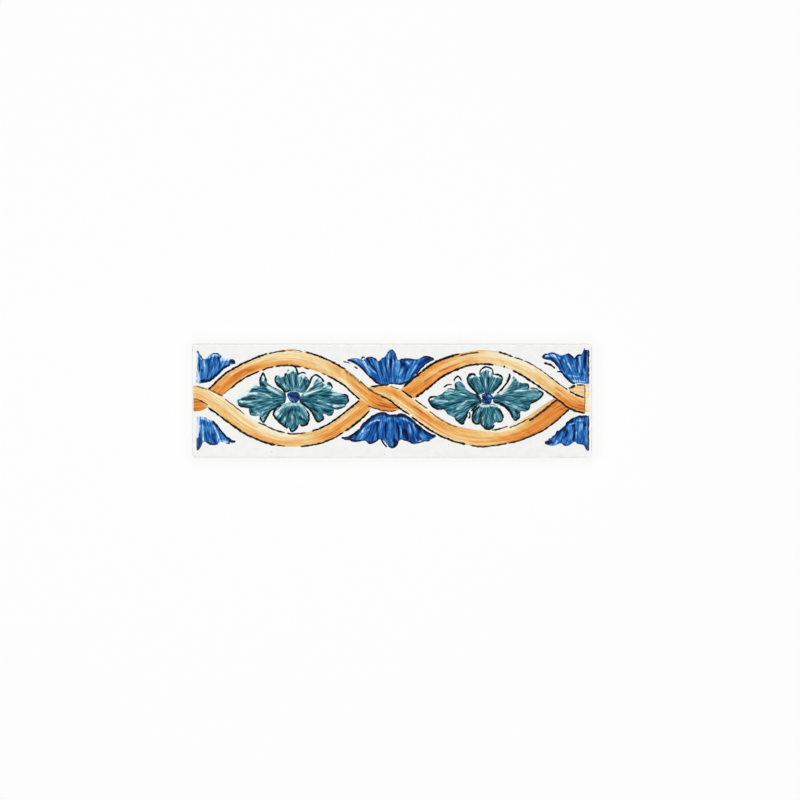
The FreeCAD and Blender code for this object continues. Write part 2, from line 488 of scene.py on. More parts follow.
def close_up(bm):
    """Welds the sleeves underneath, closes their ends and turns all faces outwards."""
    bmesh.ops.remove_doubles(bm, verts=bm.verts, dist=WELD_REACH)
    rims = [edge for edge in bm.edges if edge.is_boundary]
    bmesh.ops.holes_fill(bm, edges=rims, sides=0)
    bmesh.ops.recalc_face_normals(bm, faces=bm.faces)


def drape(bm):
    """Lowers what passes the edge of the flat face, so that it follows the rounded arris."""
    for vert in bm.verts:
        past = max(abs(vert.co.x) - FLAT_X, abs(vert.co.y) - FLAT_Y, 0)
        vert.co.z -= ARRIS - math.sqrt(max(ARRIS ** 2 - past ** 2, 0))


def finish_piece(bm, name, material):
    """Turns a painted mesh into metres and makes it a piece that rides on the tile."""
    drape(bm)
    bmesh.ops.scale(bm, vec=(MM, MM, MM), verts=bm.verts)
    mesh = bpy.data.meshes.new(name)
    bm.to_mesh(mesh)
    bm.free()
    mesh.shade_smooth()
    mesh.materials.append(material)
    piece = bpy.data.objects.new(name, mesh)
    bpy.context.scene.collection.objects.link(piece)
    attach(piece, "root")
    mesh.calc_loop_triangles()
    print(name, "has", len(mesh.loop_triangles), "triangles")


print("a sleeve sinks", SUNK, "mm into the glaze")

# %% [markdown]
# ## Touches
#
# A stroke is not one even colour: the painter goes back into it with touches that are darker or paler.
# A touch could be a stroke of its own, laid on top, but then it would cover what is below. So it only
# changes the tone of the points that it reaches. Each is told by the points that it goes through, x and
# y in turn, then its width and how much it changes the tone. It is widest where the brush comes down and
# narrows as the brush lifts off.

# %% Touches on a painted mesh
TOUCH_CORE, TOUCH_END, TOUCH_STEP = 1.5, 0.5, 0.3


def touched(places, touches):
    """How much the touches change the tone at each place."""
    change = np.zeros(len(places))
    for *points, width, amount in touches:
        path = flow(np.reshape(points, (-1, 2)), TOUCH_STEP)
        low, high = path.min(axis=0) - width, path.max(axis=0) + width
        hit = np.flatnonzero(((places > low) & (places < high)).all(axis=1))
        if not len(hit):
            continue
        away = np.linalg.norm(places[hit, None] - path, axis=2)
        share = away.argmin(axis=1) / (len(path) - 1)
        reach = width * (1 - (1 - TOUCH_END) * share)
        near = np.clip(TOUCH_CORE * (1 - away.min(axis=1) / reach), 0, 1)
        change[hit] += amount * near * near * (3 - 2 * near)
    return change


def touch_up(verts, layers, touches):
    """Adds the touches to the tone of those points."""
    places = np.array([vert.co.xy for vert in verts])
    for vert, change in zip(verts, touched(places, touches)):
        vert[layers[0]] += change


print("a touch narrows to", TOUCH_END, "of its width")

# %% [markdown]
# ## The interlaced band
#
# Two ochre strands cross over and under each other along the tile and frame the leaf rosettes. Each
# strand is one broad stroke. Its rows give x, y, width, three tones and lift. The tones are how much
# colour the brush left along its lower edge, its middle and its upper edge, and lift raises the strand
# where it passes over another one. The tones stand TONE_SIDE of the way out from the middle, and the
# colour also drifts a little along and across the stroke, as the brush empties. Where a strand runs off
# the tile it is cut straight. The last one is a pale wash beyond the cut ends on the right.

# %% Strands
STRANDS = {
    "upper_left": [
        (-91, 1.5, 7, .62, .66, .62, 0), (-87.2, 5.1, 7.2, .68, .74, .6, 0),
        (-82.1, 9.8, 7.5, .68, .76, .42, 0), (-76, 14, 7, .52, .8, .36, 0),
        (-69, 17.4, 7, .54, .66, .26, 0), (-60.5, 20.4, 7.2, .58, .3, .12, 0),
        (-52, 21.5, 7.8, .6, .24, .06, 0), (-44, 20.5, 7.8, .52, .26, .1, 0),
        (-36, 18, 7.4, .42, .26, .16, 0), (-28.5, 14.5, 7.1, .24, .42, .42, .5),
        (-22.2, 10.7, 6.9, .1, .52, .62, 1), (-16.6, 5.6, 6.9, .24, .64, .7, 1),
        (-11.8, 1.9, 7, .44, .63, .66, 1), (-7.2, -.9, 6.9, .8, .78, .62, 1),
        (-3, -2.3, 6.2, .82, .76, .58, .5), (.6, -3.1, 4.4, .8, .78, .7, 0),
        (4, -3.2, 2.4, .75, .75, .75, 0),
    ],
    "lower_left": [
        (-103, 4.6, 6.4, .3, .28, .3, 1), (-99.3, 4.3, 6.4, .36, .3, .32, 1),
        (-95.5, 3.6, 6, .36, .42, .16, 1), (-90.8, .7, 7.9, .22, .38, .06, 1),
        (-84.8, -3.4, 8.4, .32, .34, .06, 1), (-79.2, -7.7, 8.2, .38, .26, .12, .5),
        (-72.7, -12.4, 7.9, .46, .28, .04, 0), (-65, -16.1, 8, .46, .26, -.02, 0),
        (-57.5, -18.8, 7.1, .54, .26, -.04, 0), (-50, -19.8, 6.4, .46, .38, .08, 0),
        (-42.5, -19.3, 6.6, .46, .28, .4, 0), (-35.3, -17.4, 7.2, .5, .49, .36, 0),
        (-28.8, -14.3, 7.4, .66, .64, .4, 0), (-22.4, -9.9, 7.9, .68, .66, .36, 0),
        (-16.8, -5.3, 7.7, .63, .66, .5, 0), (-12.6, -1.4, 6.9, .58, .62, .55, 0),
    ],
    "lower_right": [
        (-12.5, 5.6, 1.6, .4, .45, .4, 0), (-9, 5.5, 3.4, .4, .5, .4, .2),
        (-4.2, 4.7, 6, .42, .56, .36, .5), (.8, 3, 7.4, .34, .68, .44, 1), (5.4, -.3, 8.2, .14, .6, .4, 1),
        (10.4, -3.8, 7.9, .22, .68, .3, 1), (15.9, -7.7, 7.9, .32, .68, .14, 1),
        (21.8, -11.8, 7.8, .3, .56, .24, .5), (28.8, -15.5, 7.6, .28, .4, .42, 0),
        (36.5, -17.7, 8, .36, .38, .38, 0), (44.5, -18.9, 8.5, .44, .42, .24, 0),
        (52, -18.5, 7.8, .52, .52, .02, 0), (60, -16.5, 8.4, .74, .54, 0, 0),
        (67, -13.6, 9.2, .76, .66, .28, 0), (73.2, -10.2, 10.1, .74, .72, .48, 0),
        (79, -6, 10, .8, .76, .56, 0), (83.5, -2.8, 9, .84, .8, .64, 0), (87.5, -1, 7, .84, .84, .68, 0),
    ],
    "upper_right": [
        (6.5, 2.6, 7.4, .7, .72, .7, 0), (12, 6.9, 8.1, .72, .78, .52, 0),
        (17.5, 11.3, 8.2, .74, .52, .64, 0), (23.5, 15.6, 7.9, .72, .46, .7, 0),
        (30.5, 18.7, 7.2, .6, .4, .58, 0), (38, 21, 6.7, .5, .34, .44, 0),
        (45, 21.8, 6.8, .44, .12, .26, 0), (52, 21.1, 6.9, .36, .1, .1, 0),
        (59.5, 18.8, 6.6, .16, .18, -.06, 0), (66.5, 15.9, 7.1, .14, .2, -.06, 0),
        (73, 11.8, 7.3, .04, .38, 0, .5), (79, 7.5, 6.9, .18, .36, .08, 1), (85, 3.2, 6.7, .5, .56, .18, 1),
        (90.5, -.6, 7.4, .76, .74, .26, 1), (96.4, -2.4, 7.6, .78, .78, .34, 1),
        (99, -2.8, 7.6, .78, .78, .34, 1),
    ],
    "left_end": [
        (-103, -2.3, 6.2, .78, .76, .8, 0), (-96, -2.2, 6, .82, .8, .78, 0),
        (-92.5, -1.9, 3, .7, .7, .7, 0),
    ],
    "right_end": [
        (88.3, 5.6, .8, .4, .4, .4, 0), (92, 5.4, 4.8, .24, .34, .34, 0),
        (96.4, 4.6, 6.6, .24, .36, .32, 0), (99, 4.4, 6.6, .26, .36, .32, 0),
    ],
    "right_wash": [(96.2, 1, 13.6, .12, .08, .14, -.5), (98.6, 1, 13.6, .06, .02, .08, -.5)],
}
STRAND_CUTS = {
    "upper_right": (96.4, 1), "right_end": (96.4, 1), "lower_left": (-99.4, -1), "left_end": (-99.3, -1),
}
STRAND_TOUCHES = [
    (-86, 7.8, -80, 13, 1, -.26), (-80, 13, -74, 16.5, 1, -.28), (-74, 16.5, -65, 20.1, 1, -.2),
    (-90, 4, -84, 9, .6, .12), (-79, 12.4, -70, 17, .6, .16), (-72, 14.8, -62, 18.6, -50, 20, 1.1, .2),
    (-64, 20.9, -50, 22.8, .8, -.1), (-53, 25, -43, 23.6, .6, .3), (-26, 11.4, -17.5, 4.8, .8, -.22),
    (-17.5, 4.8, -12, .6, .8, -.22), (-13, 3.8, -6, -.2, .7, .12), (-7, -2.2, 2, -3.6, .7, .1),
    (-8, .3, -2, -1.6, .5, -.16), (-31, -14, -23.4, -8.6, .9, -.22), (-23.4, -8.6, -16.5, -3, .9, -.2),
    (-34, -18.6, -24, -12.4, .6, .12), (-39, -17.4, -35.8, -16.2, -32, -14.4, .8, .18),
    (-24.6, -14.4, -20.8, -11.9, -15.2, -7.3, -11, -3.4, 1.7, -.2),
    (-24.6, 14.2, -21, 12, -15.4, 6.9, -10.8, 3.2, 1.8, -.18), (-96, 2.4, -86, -2.8, .5, .16),
    (-84, -5.5, -70, -14.8, .5, .12), (-70, -17, -52, -21.4, .5, .14),
    (-67, -13.7, -57, -17.2, -47, -18.3, .8, -.16), (-5, 3.5, .2, 1.8, .8, -.18),
    (.2, 1.8, 9.8, -4.8, .9, -.32), (9.8, -4.8, 22, -13, .9, -.26), (1, 3.4, 11, -3.6, .6, .14),
    (11, -2.9, 21, -9.6, .7, .2), (22.5, -10.2, 29.6, -14.1, .8, .2), (29.6, -14.1, 44, -17.1, .8, .18),
    (40, -20.8, 56, -20, .6, .14), (54, -18.6, 70, -14.6, .6, .1),
    (57, -15.6, 64, -12.6, 70, -9.6, .9, -.12), (16.3, 9.6, 24, 14.8, .8, .28),
    (24, 14.8, 34, 18.6, .8, .32), (9.5, 6.6, 20, 14.6, .5, -.16), (15, 12.4, 22, 17, 33, 21, .7, .14),
    (36, 19.2, 47, 20.2, .8, .2), (69, 14.4, 77, 8.8, .5, .14), (82, 6.4, 95, -.8, .8, .3),
    (82, 5, 88, .9, .6, -.2), (82, 3.7, 89, -1.2, .7, .26), (84, 2.4, 93, -2.2, .5, -.2),
    (75, -9.4, 84, -3.2, .5, -.14),
]
STRAND_TOP, STRAND_LIFT, STRAND_STEP, STRAND_COLUMNS = 0.03, 0.03, 0.5, 16
TONE_SIDE = 0.75
LOAD_DRIFT, LOAD_ALONG, LOAD_ACROSS = 0.1, 0.35, 1.5


def cut_upright(bm, verts, x, outward):
    """Cuts part of a mesh off by an upright plane at x. Outward is 1 or -1, to the side that goes."""
    faces = {face for vert in verts for face in vert.link_faces}
    edges = {edge for vert in verts for edge in vert.link_edges}
    bmesh.ops.bisect_plane(bm, geom=[*verts, *edges, *faces], plane_co=(x, 0, 0),
                           plane_no=(outward, 0, 0), clear_outer=True)


def lay_strand(bm, layers, name, rows, seed):
    """One strand of the band. Returns its led rows, for the outlines."""
    path = flow(rows, STRAND_STEP)
    low, middle, high, lift = path[:, 3:7].T
    slope, bend = (high - low) / 2, (high + low) / 2 - middle

    def tone_at(row, side):
        place = side / TONE_SIDE
        uneven = LOAD_DRIFT * drift(row * STRAND_STEP * LOAD_ALONG + side * LOAD_ACROSS, seed)
        return middle[row] + slope[row] * place + bend[row] * place ** 2 + uneven

    verts = sleeve(bm, layers, path, path[:, 2] / 2, STRAND_TOP + STRAND_LIFT * lift, tone_at,
                   STRAND_COLUMNS, seed)
    touch_up(verts, layers, STRAND_TOUCHES)
    if name in STRAND_CUTS:
        cut_upright(bm, verts, *STRAND_CUTS[name])
    return path


bm = bmesh.new()
layers = paint_layers(bm)
led_strands = {
    name: lay_strand(bm, layers, name, rows, seed) for seed, (name, rows) in enumerate(STRANDS.items(), 1)
}
close_up(bm)
finish_piece(bm, "strand_paint", ochre)

# %% [markdown]
# ## Filled shapes
#
# A leaf is filled with short strokes that start at the middle of the rosette, and it shades from deep to
# pale. Its outline is a closed curve through a few points, rounded except at those marked SHARP. Blender
# fills the curve and a voxel remesh turns it into small even faces, so that every point can hold its
# own tone. A shape is told by the root of its strokes, the base of its tone and its outline, and
# listed touches make it deeper or paler. The streaks fan out from the root: they are as fine as
# strokes side by side would be at BRUSH_REACH from it.

# %% Pools of paint
POOL_TOP, POOL_RIM, POOL_VOXEL = 0.05, 0.5, 0.28
POOL_DEPTH = 2 * POOL_VOXEL
RIM_STEP, ROOT_GAP, BRUSH_REACH = 0.3, 0.3, 11.0
SHARP = True


def filled_outline(outline):
    """A closed curve through the outline, filled, as a mesh of small even faces."""
    curve = bpy.data.curves.new("outline", "CURVE")
    curve.dimensions = "2D"
    curve.fill_mode = "BOTH"
    curve.extrude = POOL_DEPTH
    spline = curve.splines.new("BEZIER")
    spline.bezier_points.add(len(outline) - 1)
    for point, (x, y, *sharp) in zip(spline.bezier_points, outline):
        point.co = (x, y, 0)
        point.handle_left_type = point.handle_right_type = "VECTOR" if sharp else "AUTO"
    spline.use_cyclic_u = True
    drawn = bpy.data.objects.new("outline", curve)
    solid = bpy.data.objects.new("pool", bpy.data.meshes.new_from_object(drawn))
    bpy.context.scene.collection.objects.link(solid)
    weld = solid.modifiers.new("weld", "WELD")
    weld.merge_threshold = WELD_REACH
    remesh = solid.modifiers.new("even", "REMESH")
    remesh.mode = "VOXEL"
    remesh.voxel_size = POOL_VOXEL
    evaluated = solid.evaluated_get(bpy.context.evaluated_depsgraph_get())
    mesh = bpy.data.meshes.new_from_object(evaluated)
    bpy.data.objects.remove(solid)
    bpy.data.objects.remove(drawn)
    return mesh


def lay_pool(bm, layers, outline, root, base, touches):
    """A filled shape whose strokes start at the root."""
    mesh = filled_outline(outline)
    count = len(mesh.vertices)
    places = np.empty(count * 3)
    mesh.vertices.foreach_get("co", places)
    places = places.reshape(-1, 3)
    rim = flow([point[:2] for point in outline + outline[:1]], RIM_STEP)
    tree = kdtree.KDTree(len(rim))
    for index, (x, y) in enumerate(rim):
        tree.insert((x, y, 0), index)
    tree.balance()
    inside = np.array([tree.find((x, y, 0))[2] for x, y in places[:, :2]])
    rise = np.clip(inside / POOL_RIM, 0, 1)
    tones = base + touched(places[:, :2], touches)
    spokes = places[:, :2] - np.array(root)
    reach = np.linalg.norm(spokes, axis=1)
    turns = spokes / np.maximum(reach, ROOT_GAP)[:, None] * BRUSH_REACH
    first = len(bm.verts)
    bm.from_mesh(mesh)
    bpy.data.meshes.remove(mesh)
    bm.verts.ensure_lookup_table()
    tone_layer, brush_layer = layers
    for index in range(count):
        vert = bm.verts[first + index]
        vert.co.z = FACE + POOL_TOP * rise[index] if places[index, 2] > 0 else FACE - SUNK
        vert[tone_layer] = tones[index]
        vert[brush_layer] = (turns[index, 0], turns[index, 1], reach[index])


def paint_pools(name, shapes, touches, material, raised=0.0):
    """A piece made of one pool for each shape, all with the same touches."""
    bm = bmesh.new()
    layers = paint_layers(bm)
    for root, base, outline in shapes:
        lay_pool(bm, layers, outline, root, base, touches)
    bmesh.ops.translate(bm, vec=(0, 0, raised), verts=bm.verts)
    bmesh.ops.recalc_face_normals(bm, faces=bm.faces)
    finish_piece(bm, name, material)


print("pools stand", POOL_TOP, "mm proud")

# %% [markdown]
# ## Leaf rosettes
#
# Each eye of the band holds four teal leaves round a small blue centre. One leaf could be drawn and turned
# round, but no two are alike, because they were painted freehand. So each has its own outline and touches.

# %% Leaves
LEFT_ROSETTE, RIGHT_ROSETTE = (-49, 1.5), (47.2, 1)
LEAVES = [
    (LEFT_ROSETTE, .6, [
        (-53.2, 4.4), (-54.6, 5.5), (-56.2, 6.8), (-57.6, 8.4), (-58.3, 10.2), (-58.1, 12.2), (-56.6, 12.6),
        (-54.6, 11.9), (-53.7, 12.6), (-53, 14), (-51.6, 15.4), (-49.8, 16), (-48, 15.2), (-47.1, 13.4),
        (-46.6, 12.4), (-44.8, 12.8), (-42.6, 11.8), (-41.7, 9.6), (-41.9, 7), (-42.5, 5.2), (-44.8, 3.8),
        (-48, 4.6), (-51, 4.5),
    ]),
    (LEFT_ROSETTE, .58, [
        (-53, 1.9), (-54.8, 4.4), (-58, 6.2), (-61, 7.6), (-62.6, 9.6), (-63.3, 11.4), (-64.3, 12.8),
        (-65.3, 11.6), (-65.8, 9.4), (-66, 7.4), (-68.4, 7.6), (-70.8, 6.2), (-73.2, 4.6), (-75.8, 3),
        (-77.2, .8), (-76.9, -1.8), (-74.6, -2.9), (-71.8, -3.7), (-71.4, -5.6), (-70.4, -7.3),
        (-67.6, -7.6), (-66, -8), (-65.4, -9.6), (-64.2, -10.8), (-63, -9), (-61.8, -6.6), (-60, -4.8),
        (-57.2, -3.4), (-54.6, -2), (-53.2, -.5),
    ]),
    (LEFT_ROSETTE, .61, [
        (-46, 1.6), (-44.6, 3.5), (-42.4, 4.8), (-41.1, 6.2), (-40.2, 8.6), (-39.2, 10.4), (-37.8, 11.4),
        (-36, 11), (-34.8, 9.8), (-34, 8.2), (-32.6, 8.6), (-31, 8.5), (-30, 7.2), (-29.8, 5.4),
        (-27.6, 4.8), (-24.8, 3.6), (-22.6, 2.8), (-21.9, 1), (-22.1, -1), (-23.6, -2.8), (-25.4, -3.8),
        (-28.6, -4.2), (-29.3, -6), (-30.6, -7.3), (-32.6, -7.2), (-34, -6.6), (-34.6, -9), (-36.4, -10.4),
        (-38, -9.6), (-39.2, -7), (-41.3, -4.7), (-43.6, -2.7), (-46, -1.5),
    ]),
    (LEFT_ROSETTE, .6, [
        (-55, -2.2), (-57.4, -3.6), (-58.9, -5.6), (-59, -7.4), (-57.6, -9.6), (-55.6, -11.4),
        (-53.2, -13.3), (-51.2, -13.8), (-49.8, -15.5), (-48, -14.8), (-47, -13), (-46.4, -11.9),
        (-44.6, -12.4), (-42.6, -11.7), (-41.7, -9.6), (-41.8, -6.6), (-42.7, -4.1), (-44.6, -2),
        (-48, -.9), (-51.6, -1),
    ]),
    (RIGHT_ROSETTE, .62, [
        (43.2, 3), (41.8, 4.6), (40.2, 6.6), (38.7, 8.4), (38.1, 10.4), (38.6, 12.2), (40.2, 12.8),
        (42.2, 12.2), (43.9, 12), (44.4, 13.6), (45.4, 15.2), (47.2, 15.8), (49, 15.2), (50, 13.8),
        (50.4, 12.4), (52, 12.6), (54, 12), (54.8, 10.6), (54.2, 8.6), (52.8, 6.8), (51.6, 5), (50.4, 3.4),
        (46.8, 4),
    ]),
    (RIGHT_ROSETTE, .62, [
        (44.2, 2), (41.8, 3.4), (39.2, 4.4), (37.6, 5.6), (36.2, 7.6), (34.8, 9.2), (33, 9.6), (31.7, 8.6),
        (31.8, 6.8), (31, 5.8), (28.4, 5.9), (26.4, 4.6), (24.4, 3.1), (21.8, 2.3), (19.4, 1.6), (18.6, .4),
        (19.6, -1.7), (21.4, -3.5), (24, -4.1), (26.4, -4.9), (27.7, -6.8), (29.6, -7.8), (31.4, -8.7),
        (33.2, -10.4), (35.4, -11.5), (36.4, -9.6), (37.3, -7.2), (38.6, -5), (40.6, -3.6), (43, -2.5),
        (44.6, -.8),
    ]),
    (RIGHT_ROSETTE, .64, [
        (44.6, -1.7), (42.4, -3.4), (40.9, -5.6), (40.3, -8.4), (40.9, -10.9), (43, -11.6), (44.4, -11.6),
        (45.8, -13.4), (48, -14.3), (50.2, -13.4), (51.2, -11.2), (53, -10.7), (54.8, -10.2), (55.5, -8.6),
        (54.7, -6.2), (53.4, -4), (51.6, -2), (48, -1.5),
    ]),
    (RIGHT_ROSETTE, .58, [
        (51.1, 2.2), (54.2, 3.9), (57, 5.9), (58.7, 7.9), (59.7, 10.2), (60.6, 12.1), (62, 11), (63.2, 9.6),
        (65, 8.8), (67.6, 8.6), (68.4, 7), (68.4, 5.8), (71, 5.9), (73.6, 5), (75, 3.7), (74.3, 1.8),
        (72.7, .4), (70.7, -.6), (69.3, -2), (68.5, -4), (66.8, -5.5), (64.5, -5.4), (63.9, -7.8),
        (62, -9.7), (60.5, -8.8), (59.5, -6.6), (57.5, -4.3), (54.8, -2.7), (52.4, -1.8), (50.7, -.9),
    ]),
]
LEAF_TOUCHES = [
    (-52, 14.6, -50, 15.6, -48, 14.8, 1.6, -.6), (-57.4, 12.3, -55.2, 12, 1.4, -.45),
    (-57.8, 10.8, -56.2, 9, 1.2, -.38), (-46, 12.6, -43.4, 12.2, 1.2, -.45),
    (-44.6, 11.6, -42.2, 10.4, 1.1, -.28), (-51.3, 13, -51.3, 8.5, .9, .2), (-49.8, 13, -49.6, 8, .6, -.18),
    (-48.1, 13, -48.2, 8, .8, .26), (-46.6, 12, -46, 7.5, .8, -.35), (-43.6, 10.5, -43, 6.5, 1.5, .22),
    (-54.2, 8, -52.2, 6, .9, -.3), (-57.5, 8.6, -55.5, 6.8, -53.4, 5, 1, .25),
    (-48.5, 5.5, -45.5, 5.5, 1.4, -.15), (-53.8, 11.5, -53.2, 8.5, .8, .26),
    (-76.6, 2.6, -74, 4, -70.6, 6.4, 2.6, -.6), (-75, 2.6, -71.4, 3.7, -68, 3.6, 1.8, -.3),
    (-69.6, 7.2, -66.6, 7, 1.2, -.3), (-70.2, 5.4, -67.2, 5.5, 1, .36),
    (-64.4, 12.6, -64.4, 10.2, 1.3, -.7), (-64.9, 8.6, -63.7, 6.6, -61.2, 3.8, 1.5, .3),
    (-74.4, 2.4, -68, 3.9, -63.5, 3.1, -60.2, 1.5, .9, -.3), (-61.8, 6.6, -58.5, 4.7, -55.6, 3, 1.4, -.4),
    (-74.6, .6, -71, .6, -68.6, 1, .8, .46), (-69.6, 2.5, -65.6, 2.4, .6, .24),
    (-76.2, -.6, -70.5, -.4, .9, -.25), (-76.6, -1.9, -74, -2.8, -70.5, -2.6, 1, .26),
    (-76.8, .8, -75, -.8, 1.4, -.28), (-68.6, -4.8, -66.6, -6.6, 1.3, -.25),
    (-64.6, -4.6, -65, -9.2, .7, -.2), (-63.4, -9.6, -62, -6.6, -59.4, -4, 1, .2),
    (-64.5, -10.6, -64.4, -8.6, .9, -.22), (-59, .2, -54, .8, 1.4, .2),
    (-66, -1, -60, -2.4, -56, -1.5, 1.6, .16), (-40.6, 7.4, -39.2, 10, -37.4, 11.2, -35.2, 10, 1.3, -.6),
    (-38.2, 6.6, -36.2, 9.4, 1.5, -.06), (-43.6, 2.9, -39.4, 4.6, -35.4, 5.8, -32.8, 7.8, 1, -.5),
    (-33, 7.6, -30.8, 6.4, 1.8, -.45), (-39, 9.4, -36, 9.4, 1.3, -.2), (-33.6, 3.2, -30, 4.2, 1, .18),
    (-45.4, .4, -41, -.4, -37.6, -1.6, 1.5, .2), (-29.4, 5, -26.6, 4.6, -24, 3.8, 1.4, -.55),
    (-29.6, 3, -25.6, 3.2, .8, -.3), (-30, -.4, -25, -.6, 1, .15), (-28.8, -2.7, -24, -2.3, 1.1, -.55),
    (-33.4, -4.6, -30.6, -5.4, 1.2, .25), (-38.4, -9, -40, -5.8, -43, -2.4, -45.6, -.4, 1, .3),
    (-37, .2, -33.6, -.8, -31, -2.2, .7, -.3), (-38.4, -1.6, -35.4, -4.6, 1, -.15),
    (-41, 1.9, -36, 2.6, .8, .22), (-35.6, 2.6, -31, 1.6, .8, .22), (-39.4, -3.4, -36.4, -7, .8, .2),
    (-36.8, -8.8, -36.6, -5.6, .8, -.15),
    (-58.2, -6.8, -56, -4, -52.6, -2.3, -49, -1.8, -45.6, -2.4, -43, -4.6, -42, -7, 1.6, -.42),
    (-57.2, -6.2, -55.6, -8, 1.3, -.2), (-57.4, -9.2, -54.6, -11.6, -51.8, -13.2, .8, .22),
    (-43, -11.4, -42.2, -9, .8, .22), (-53.6, -6.2, -50, -4.4, -46.4, -5, 1.6, .2),
    (-49.7, -8, -49.7, -11.6, .7, -.35), (-48.3, -7.6, -48.3, -11.2, .6, .3),
    (-46, -8.6, -43.4, -10.2, 1.3, .3), (-46.4, -6.4, -44.6, -8.6, .7, -.25),
    (-56, -10.2, -53.2, -6.8, 1, .2), (-53.6, -8.6, -52.4, -11.8, .7, -.2),
    (-50, -15.2, -49, -13.4, 1.1, -.15), (-51.6, -11, -51, -13.2, .5, -.2),
    (45, 15.2, 47.2, 15.9, 49.4, 15, 1.3, -.6), (44, 4.6, 47, 5, 50.6, 4.4, 1.1, .16),
    (38.8, 12, 41.6, 12.2, 1, -.45), (42.4, 11.8, 43.6, 12.2, .9, -.3), (49.2, 14, 48.8, 12, 1, -.4),
    (50.8, 12.2, 53.6, 12.2, .9, -.4), (46.7, 10.6, 46.7, 7.2, .6, -.25), (48.3, 11.2, 48, 8.8, .9, .36),
    (45, 11, 45.2, 8, .8, .2), (39.6, 10, 41.2, 7.2, 1.2, .12), (43.4, 11, 43, 8.8, .7, -.15),
    (40.4, 6.8, 43.6, 3.8, .7, .2), (53.8, 8.6, 50.4, 4.8, .8, .25), (50.4, 9.6, 51.6, 8, .6, -.12),
    (19.6, .7, 22, .4, 27.6, -.2, 1.4, -.36), (19.4, 1.2, 22, 1.7, .7, -.4), (23, 2.1, 27.4, 2.2, 1, -.24),
    (20.6, -2.2, 25, -2.7, 30, -1.8, 34.6, -.6, 1.1, .28), (27.4, 5.2, 31, 5.2, 1, -.4),
    (26.6, 3.3, 31, 4.1, 35, 3.2, 37.4, 2.4, .9, -.45), (24, 2.1, 31, 2.4, 38, 1.2, .8, .12),
    (33.2, 8.2, 34.8, 6.2, 36.6, 4.6, 1.4, -.12), (32, 8.6, 32.4, 6.4, 33.4, 5, .6, .25),
    (37.4, 6, 40.6, 4.2, .9, -.35), (40.2, -2.6, 43, -.8, 1.3, .35),
    (32.6, -3.8, 35, -2.1, 37.2, -.4, .8, -.3), (33.6, -6.8, 33, -9.2, .9, -.1),
    (35.4, -9.6, 36.4, -7.8, 38.4, -5.2, 1, .26), (31.4, -9, 33.6, -10.4, .8, .14),
    (28.4, -5.6, 30.4, -6.8, .9, -.1), (38.6, 2.4, 41.4, 1.8, .9, -.1),
    (44.6, -2.5, 47, -2.8, 49.6, -2.4, 52, -3, 1.1, -.55), (43.4, -4.2, 42.8, -6.4, .7, -.35),
    (41.4, -6, 42, -9.8, .9, .22), (44.3, -6, 44, -9, 44.8, -11.8, .6, .35),
    (45.3, -8.6, 45.7, -12, .6, -.3), (46, -13.2, 48, -13.9, 50, -13, .9, .3),
    (48.2, -6, 48.4, -11, 1, -.08), (49.9, -7.5, 50, -11, .5, .2), (51, -4.6, 50.2, -7, 1.2, .15),
    (51.6, -6.8, 51.3, -9.2, .6, -.3), (72.8, 4, 74, 3.4, 73, 2.4, 1.1, .14),
    (51.4, 12.3, 54, 11.4, 1, -.42), (38.5, 10.4, 40.4, 12.2, 1.1, -.38), (53.6, -4.6, 55, -7.8, .7, .3),
    (53.2, -7.4, 53.6, -9.4, .8, -.15), (54.4, 3.7, 57.6, 6.4, 60.2, 10.8, 1.3, -.5),
    (61.8, 10, 60.4, 7, 58.4, 4.8, 1.1, .2), (60.4, 11.6, 61.4, 11, .9, -.3),
    (63.4, 9.2, 63, 6.8, .8, -.35), (66, 7.8, 64.6, 6, 1, -.12), (68, 7.8, 68.4, 6.2, .9, .4),
    (60.8, 4.4, 64.4, 5.1, 68, 5, .8, -.35), (68.8, 5.4, 71.6, 5.4, 73.6, 4.6, .8, -.4),
    (74, 3.2, 73, 1.8, 71, 1.2, .7, -.2), (65, -.9, 69, -.1, 72.6, .7, .6, .3),
    (56.6, -.3, 60, -2, 62.6, -3.3, .6, -.4), (61, -5.4, 61.2, -8.4, .7, -.15),
    (62.2, -5, 62.9, -8.6, 1, .3), (66.6, -2.4, 67.6, -4.6, 1.1, .2),
    (53, -1, 56, -2, 59, -4.8, 60, -7.6, .7, .3), (51.2, 1.2, 54, 1.4, 1.2, .22),
    (53, .2, 57, .2, 61, -.6, 1.2, .14), (58.4, 1.8, 64, 2.8, 69, 3, .6, .12),
]

paint_pools("leaf_paint", LEAVES, LEAF_TOUCHES, teal)

# %% [markdown]
# ## Rosette centres
#
# A daub of dark blue covers the place where the leaves meet. It is a pool too, raised by half of a pool's
# height so that it lies over the tips of the leaves.

# %% Rosette centres
CENTRES = [
    (LEFT_ROSETTE, .74, [
        (-52.4, 3.2), (-51.2, 4.2), (-49, 4.5), (-46.8, 4), (-46, 2.4), (-46.3, .6), (-47.4, -.8),
        (-49, -1.3), (-50.6, -.6), (-51.6, .8),
    ]),
    (RIGHT_ROSETTE, .72, [
        (44.8, 2.8), (45.9, 3.5), (47, 4.2), (48.8, 3.9), (49.7, 3), (50.8, 1.4), (49.8, .2), (49.7, -1),
        (48, -1.7), (46.2, -1.4), (44.4, -.6), (45.1, 1),
    ]),
]
CENTRE_TOUCHES = [
    (-47.6, 2.2, -46.8, .8, 1, .2), (-51.2, 3.8, -48, 4.1, .8, -.12), (-51.4, 1.6, -50.4, .2, .6, -.45),
    (-49.8, .6, -48.6, -.2, .7, -.3), (-50.2, 2.4, -48.4, 1.6, .8, .1), (48.4, 2.4, 49.6, 1.5, .8, -.4),
    (45.4, 2.6, 46.6, 3, .5, -.3), (45.6, 1.4, 47.6, .4, 1.1, .3), (46.5, -1.2, 49, -1, .5, .3),
    (45, -.4, 45.8, -.6, .4, -.3),
]

